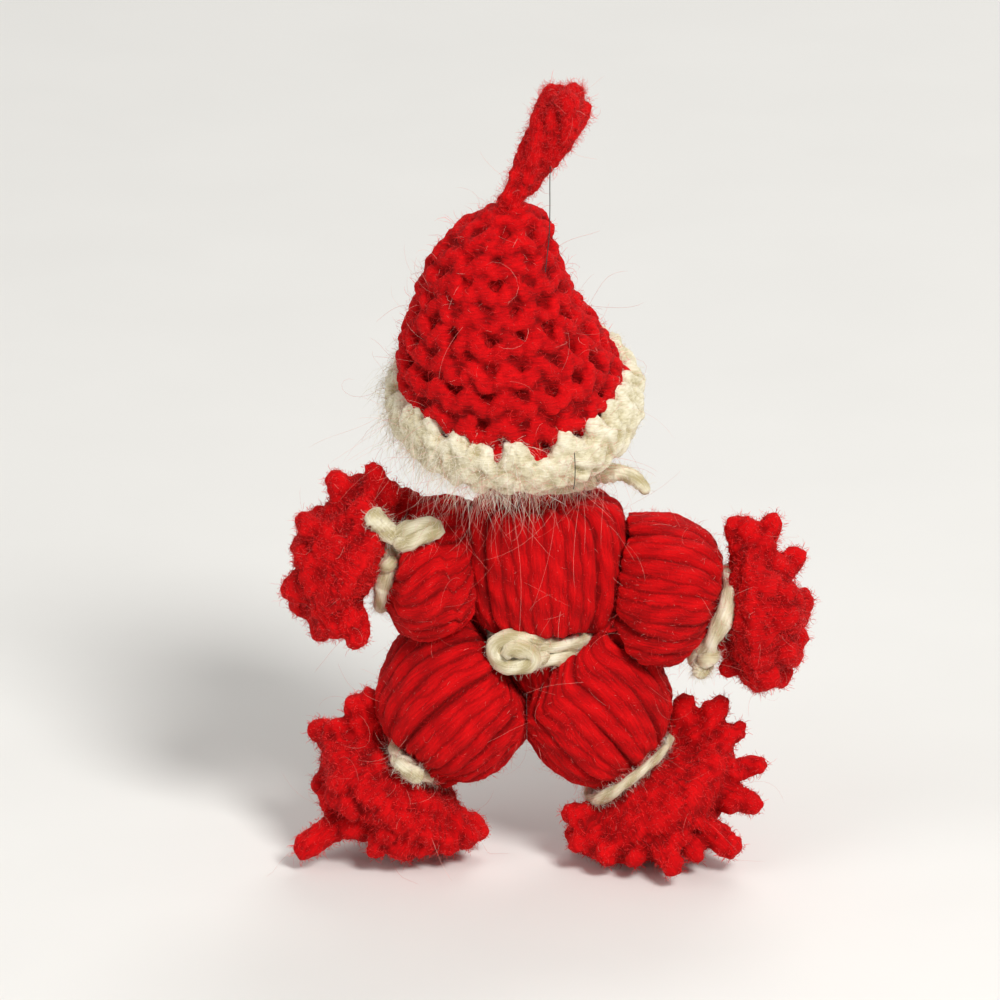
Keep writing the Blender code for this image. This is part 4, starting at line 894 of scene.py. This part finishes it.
legSize = (0.8 + 0.5 * np.sin(np.pi * t) ** 0.7) * mm
legYarn = yarnTubes(legs, legWays, legSize, ply=0.1, pitch=7, sides=8, seed=132, fluff=0.05)
ropeYarn = yarnTubes(ropes, ropeWays, 1.12 * mm, ply=0.14, pitch=8, sides=10, seed=133, fluff=0.06)
swirlT = np.linspace(0, 1, 60)
swirl, swirlWay = capPoint(0.96 + 0.04 * swirlT, swirlT * 2.2 * tau, -1.2 * mm * swirlT)
swirl = swirl + axisZ * (0.5 * mm * swirlT)[:, None]
swirlYarn = yarnTubes(swirl[None], swirlWay[None] + axisZ, 1.25 * mm, ply=0.18, pitch=7, sides=10, seed=134)
shares = np.concatenate([np.linspace(0.005, 0.97, 24), [0.99]])
middle, depthWay, normal, radius = capFrame(shares)


def ringAt(inset):
    way = swing(axisX, depthWay[:, None], turnsOf(40))
    return middle[:, None] + way * np.maximum(radius - inset, 0.3 * mm)[:, None, None]


outerWall, innerWall = ringAt(1.7 * mm), ringAt(capShape["wall"] * mm)[:16]
capShell = closedSkin(np.concatenate([outerWall[::-1], innerWall]))


def capMap(p):  # fibres run round the cap
    turn = np.arctan2(p[:, 1], p[:, 0] + 6 * mm)
    return np.stack([turn * 30.0, p[:, 2] / mm * 1.2], -1)


capSkin = fusedSkin([legYarn, ropeYarn, swirlYarn, capShell], 0.38, 1, 139, capMap, lumps=((1.1, 0.07), (3.0, 0.1)))
capSkin["runs"] = unit(np.cross(axisZ, capSkin["normals"]))
makePiece("hat_yarn", [capSkin], "head", [redCap, redFibre, roseFibre], ["hat"])
headShape = {"centre": (-3.6, 0, 70.4), "radius": 13.2, "turns": 34, "strand": 1.35}
centre = np.array(headShape["centre"]) * mm
outside = lambda root, normal: np.linalg.norm(root - centre, axis=1) > 14.4 * mm  # no hairs inside the cap
makePiece("hat_fuzz", [
    growHairs(capSkin, 6600, (0.3, 1.7), 135, curl=0.15, steps=4, thick=0.05, spread=0.7, keep=outside),
    growHairs(capSkin, 1000, (1.2, 4.0), 136, curl=0.2, bend=0.7, keep=outside),
    growHairs(capSkin, 700, (0.5, 1.8), 139, away=0.3, spread=0.9, slot=2, thick=0.035, steps=4, keep=outside),
    growHairs(capSkin, 90, (4, 12), 137, away=0.6, bend=0.6, slot=2, thick=0.04, steps=9, keep=outside),
], "head", redSet)
print("cap done")

trimShape = {"teeth": 24, "strand": 1.5, "band": 1.75, "toothShare": 0.15}
count = trimShape["teeth"]
base = (np.arange(count) + rng.uniform(-0.14, 0.14, count)) / count * tau
t = np.linspace(0, 1, 12)
teeth, teethWays = [], []
height = trimShape["toothShare"] + rng.uniform(-0.07, 0.03, (count, 1)) * (np.arange(count)[:, None] % 2 * 1.2 + 0.4)
for lean in (-1, 1):
    turn = base[:, None] + lean * (0.44 * (1 - blendIn(t)) + 0.04) / count * tau
    share = -0.07 + (height + 0.07) * t**0.85
    point, way = capPoint(share, turn, (0.45 + 0.6 * np.sin(np.pi * t) ** 0.8 - 0.9 * t) * mm)
    teeth.append(point)
    teethWays.append(way)
teeth, teethWays = np.concatenate(teeth), np.concatenate(teethWays)
toothSize = trimShape["strand"] * mm * (0.95 + 0.2 * np.sin(np.pi * t) - 0.42 * t**3)
toothYarn = yarnTubes(teeth, teethWays, toothSize, ply=0.14, pitch=8, sides=12, seed=141, fluff=0.07)
bands, bandWays = [], []
for share, proud, phase in ((-0.045, 0.15, 0), (-0.055, -1.35, 2)):
    turn = np.linspace(0, tau, 200) + phase
    wave = 0.35 * mm / capLength * np.sin(turn * count + phase)
    point, way = capPoint(share + wave, turn, proud * mm + 0.3 * mm * np.sin(turn * count + 1.5 + phase))
    bands.append(point)
    bandWays.append(way)
bandSize = trimShape["band"] * mm, 1.6 * mm
bandYarn = yarnTubes(bands, bandWays, *bandSize, ply=0.14, pitch=8, sides=12, seed=142, fluff=0.05)
middle, depthWay, normal, radius = capFrame(np.array([0.0]))
way = swing(axisX, depthWay[0], np.arange(62) / 60 * tau)
coreLine = middle[0] + way * (radius[0] - 0.5 * mm) - normal[0] * 1.3 * mm
coreYarn = yarnTubes(coreLine[None], way[None], 1.5 * mm, seed=143)
trimMap = lambda p: capMap(p) * (1.5, 1.1)
trimSkin = fusedSkin([toothYarn, bandYarn, coreYarn], 0.36, 1, 140, trimMap, lumps=((1.0, 0.08), (2.6, 0.14)))
trimSkin["runs"] = unit(np.cross(axisZ, trimSkin["normals"]))
makePiece("hat_trim_yarn", [trimSkin], "head", creamSet, ["hat_trim"])


def leftSide(root, normal):
    edge = 1 * mm + 5 * mm * np.sin(root[:, 1] * 900)  # a wavy line, so that the fur doesn't stop at a seam
    return outside(root, normal) & (root[:, 0] < edge) & (root[:, 1] < 14 * mm)


below = lambda root, normal: (normal[:, 2] < 0.1) & (root[:, 0] < 9 * mm) & (root[:, 1] < 4 * mm)
under = lambda root, normal: below(root, normal) & (root[:, 0] > -10 * mm)
aside = lambda root, normal: below(root, normal) & (root[:, 0] < -10 * mm)
makePiece("hat_trim_fuzz", [
    growHairs(trimSkin, 4200, (0.4, 1.7), 144, steps=4, spread=0.8, bend=0.5, keep=outside),
    growHairs(trimSkin, 4600, (1.0, 5.2), 146, keep=leftSide, drift=(0, -0.12, -0.6), away=0.7, spread=0.8, bend=0.6,
              thick=0.05, curl=0.12, steps=4),
    growHairs(trimSkin, 850, (2.5, 10.5), 147, keep=under, drift=(-0.05, -0.3, -0.2), away=0.6, spread=1.3, bend=1.0,
              thick=0.036, slot=2, steps=7),
    growHairs(trimSkin, 300, (2.0, 7.0), 152, keep=aside, drift=(-0.1, -0.2, -0.3), away=0.6, spread=1.2, bend=0.9,
              thick=0.036, steps=7),
    growHairs(trimSkin, 170, (7, 18), 149, keep=below, drift=(0, -0.1, -0.35), spread=1.1, bend=0.6, thick=0.034,
              slot=2, steps=11),
], "head", creamSet)
print("trim done")

tailShape = {"root": (-5.0, -5.0, 104.1), "tip": (3.0, -6.0, 121.4), "lean": 52, "shorter": (0, 5, 1, 6, 2, 4)}
root, tip = np.array(tailShape["root"]) * mm, np.array(tailShape["tip"]) * mm
third = np.linalg.norm(tip - root) / 3
t = np.linspace(0, 1, 40)
line = (root - np.array([1.0, 0, 3.2]) * mm, root + slopeRun(tailShape["lean"]) * third, tip - axisZ * third,
        tip - axisZ * 1.2 * mm)
tailLine = bezier(line, t)
run = unit(np.gradient(tailLine, axis=0))
across = unit(np.cross(run, axisY))
upDown = np.cross(across, run)
plies, plyWays = [], []
for number, phase in enumerate(turnsOf(6)):
    turn = phase + t * 0.5 * tau + 0.3 * np.sin(4 * t + number)
    spread = (1.0 + 1.4 * blendIn(t * 1.3)) * mm * (1.0 if number % 3 else 0.5)
    way = swing(across, upDown, turn)
    plies.append(smoothCurve((tailLine + way * spread[:, None])[:40 - tailShape["shorter"][number]], 40))
    plyWays.append(way)
plySize = (1.15 + 0.45 * blendIn(t * 1.3)) * mm
strands = yarnTubes(plies, plyWays, plySize, ply=0.06, sides=10, roundEnd=0.9, seed=151)
tailMap = lambda p: np.stack([p[:, 2] / mm, np.arctan2(p[:, 1] + 5.5 * mm, p[:, 0]) * 4.0], -1)
tailSkin = fusedSkin([strands], 0.3, 2, 154, tailMap, lumps=((1.0, 0.08), (2.6, 0.16)))
tailSkin["runs"] = np.broadcast_to(unit(tip - root), tailSkin["roots"].shape)
tailSkin["along"] = np.clip((tailSkin["roots"][:, 2] - root[2]) / (tip[2] - root[2]), 0, 1)
makePiece("hat_tail_yarn", [tailSkin], "tail", redSet, ["hat_tail"])
makePiece("hat_tail_fuzz", [
    growHairs(tailSkin, 5200, (0.4, 1.8), 152, tips=0.5, curl=0.15, steps=4, spread=0.7, thick=0.05, bend=0.5),
    growHairs(tailSkin, 300, (1.0, 2.6), 155, tips=0.9, spread=0.8, bend=0.6),
    growHairs(tailSkin, 30, (2, 7), 153, slot=2, thick=0.04, steps=8),
], "tail", redSet)
print("tail done")


# Head: a ball wound of cream yarn in great circles, and the bead eyes of the solids
rng = np.random.default_rng(161)
pole = unit(rng.normal(0, 1, (headShape["turns"], 3)) * (1, 0.6, 1))
e1 = unit(np.cross(pole, rng.normal(0, 1, pole.shape)))
e2 = np.cross(pole, e1)
turn = np.linspace(0, tau * 0.995, 70)
lift = (headShape["radius"] - headShape["strand"]) * mm - rng.uniform(0, 0.9, (len(pole), 1)) * mm
circles = centre + swing(e1[:, None], e2[:, None], turn) * lift[..., None]
stray = np.sin(turn * 2 + rng.uniform(0, tau, (len(pole), 1))) * 0.9 * mm
stray = stray + rng.uniform(-1, 1, (len(pole), 1)) * 3.5 * mm
circles = circles + pole[:, None] * stray[..., None]
circles = centre + unit(circles - centre) * lift[..., None]
down = np.linspace(0.02, np.pi - 0.02, 20)[:, None, None]
ballCore = centre + (np.sin(down) * swing(axisX, axisY, turnsOf(32)) + np.cos(down) * axisZ) * 11.4 * mm
# over the neck, within 10.8 mm of its axis, the ball is flat
for p, flat in ((circles, 62.5 * mm), (ballCore, 62 * mm)):
    overNeck = (np.linalg.norm(p[..., :2], axis=-1) < 10.8 * mm) & (p[..., 2] < flat)
    p[..., 2] = np.where(overNeck, flat, p[..., 2])
woundYarn = yarnTubes(circles, circles - centre, headShape["strand"] * mm, 1.15 * mm, ply=0.15, sides=10, seed=162)
makePiece("head_ball_yarn", [woundYarn, closedSkin(ballCore)], "head", creamSet, ["head_ball"])
shown = lambda root, normal: root[:, 2] < 76 * mm
ballHairs = growHairs(woundYarn, 1700, (0.4, 1.8), 163, steps=4, keep=shown)
makePiece("head_ball_fuzz", [ballHairs], "head", creamSet)

bead, tree, shader = newMaterial("black glass bead, polished", 0.08)
shader.inputs["Base Color"].default_value = linear("0b0a0a")
haze = speckle(tree, 2500.0, 2.0)  # handling leaves a faint haze in patches of about 0.4 mm
dull = addNode(tree, "ShaderNodeMapRange", values={"To Min": 0.04, "To Max": 0.12},
               links={"Value": haze.outputs["Fac"]})
tree.links.new(dull.outputs["Result"], shader.inputs["Roughness"])
for node in ("eye_right", "eye_left"):
    for slotRow in bpy.data.objects[node].material_slots:
        slotRow.material = bead

threadLines = np.array((
    ((0.7, -6.6, 110.0), (0.6, -7.0, 106.0), (0.6, -8.2, 102.0), (0.5, -9.6, 98.6), (0.2, -11.0, 96.0),
     (-0.1, -12.0, 93.6)),
    ((4.1, -18.4, 69.0), (4.2, -19.0, 67.4), (4.2, -18.8, 65.4), (4.1, -17.4, 63.6), (4.0, -15.6, 62.4),
     (4.0, -14.0, 61.8)),
))
threads = [smoothCurve(line * mm, 40) for line in threadLines]
threads = yarnTubes(threads, (0.3, -1, 0.1), 0.07 * mm, sides=5, seed=171)
makePiece("dark_thread", [threads], "head", [darkThread])
print("head done")


# Room: a pale floor, soft studio light and the photograph's long view
room = {"floor": ("e4e2dd", "e9e7e2"), "distance": 1.6, "elevation": 20, "target": (-6.51, 0, 54.98), "across": 144.7}
floorMesh = bpy.data.meshes.new("floor")
floorMesh.from_pydata([(-3, -3, 0), (3, -3, 0), (3, 3, 0), (-3, 3, 0)], [], [(0, 1, 2, 3)])
floorPiece = newObject("floor", floorMesh)
paper, tree, shader = newMaterial("matt paper sweep", 0.95)
dark, light = (linear(colour) for colour in room["floor"])
grain = speckle(tree, 30.0, 2.0)
tone = addNode(tree, "ShaderNodeMix", {"data_type": "RGBA"}, {6: dark, 7: light}, {0: grain.outputs["Fac"]})
tree.links.new(tone.outputs[2], shader.inputs["Base Color"])
floorMesh.materials.append(paper)
floorPiece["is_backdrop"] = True

world = bpy.data.worlds.new("studio")
bpy.context.scene.world = world
world.use_nodes = True
tree = world.node_tree
sky = tree.nodes["Background"]
sky.inputs["Color"].default_value = (1, 1, 1, 1)
rays = addNode(tree, "ShaderNodeLightPath").outputs
seen = rays["Is Camera Ray"]
for ray in ("Is Glossy Ray", "Is Transmission Ray"):
    seen = addNode(tree, "ShaderNodeMath", {"operation": "MAXIMUM"}, links={0: seen, 1: rays[ray]}).outputs[0]
level = addNode(tree, "ShaderNodeMapRange", values={"To Min": 0.30, "To Max": 0.9}, links={"Value": seen})
tree.links.new(level.outputs["Result"], sky.inputs["Strength"])

for lampName, place, size, power in (
    ("keyLamp", (0.40, -0.70, 0.80), 0.35, 11.0),
    ("fillLamp", (-0.9, -0.5, 0.5), 0.8, 3.0),
    ("backLamp", (0.3, 0.9, 0.9), 0.6, 5.0),
):
    lamp = bpy.data.lights.new(lampName, "AREA")
    lamp.shape, lamp.size, lamp.energy = "DISK", size, power
    holder = newObject(lampName, lamp)
    holder.location = place
    holder.rotation_euler = (Vector((0, 0, 0.06)) - Vector(place)).to_track_quat("-Z", "Y").to_euler()

rise = math.radians(room["elevation"])
cameraData = bpy.data.cameras.new("camera")
cameraData.sensor_width = 36
cameraData.lens = 36 * room["distance"] / (room["across"] * mm)
cameraData.clip_start, cameraData.clip_end = 0.05, 20
camera = newObject("camera", cameraData)
away = np.array([0, -math.cos(rise), math.sin(rise)]) * room["distance"]
camera.location = np.array(room["target"]) * mm + away
camera.rotation_euler = (math.pi / 2 - rise, 0, 0)
bpy.context.scene.camera = camera
bpy.context.scene.view_settings.view_transform = "Standard"
print("total triangles", total["triangles"])

asLists = lambda box: [list(map(float, corner)) for corner in box]
{"cad": asLists(cadBox), "visual": asLists(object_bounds())}
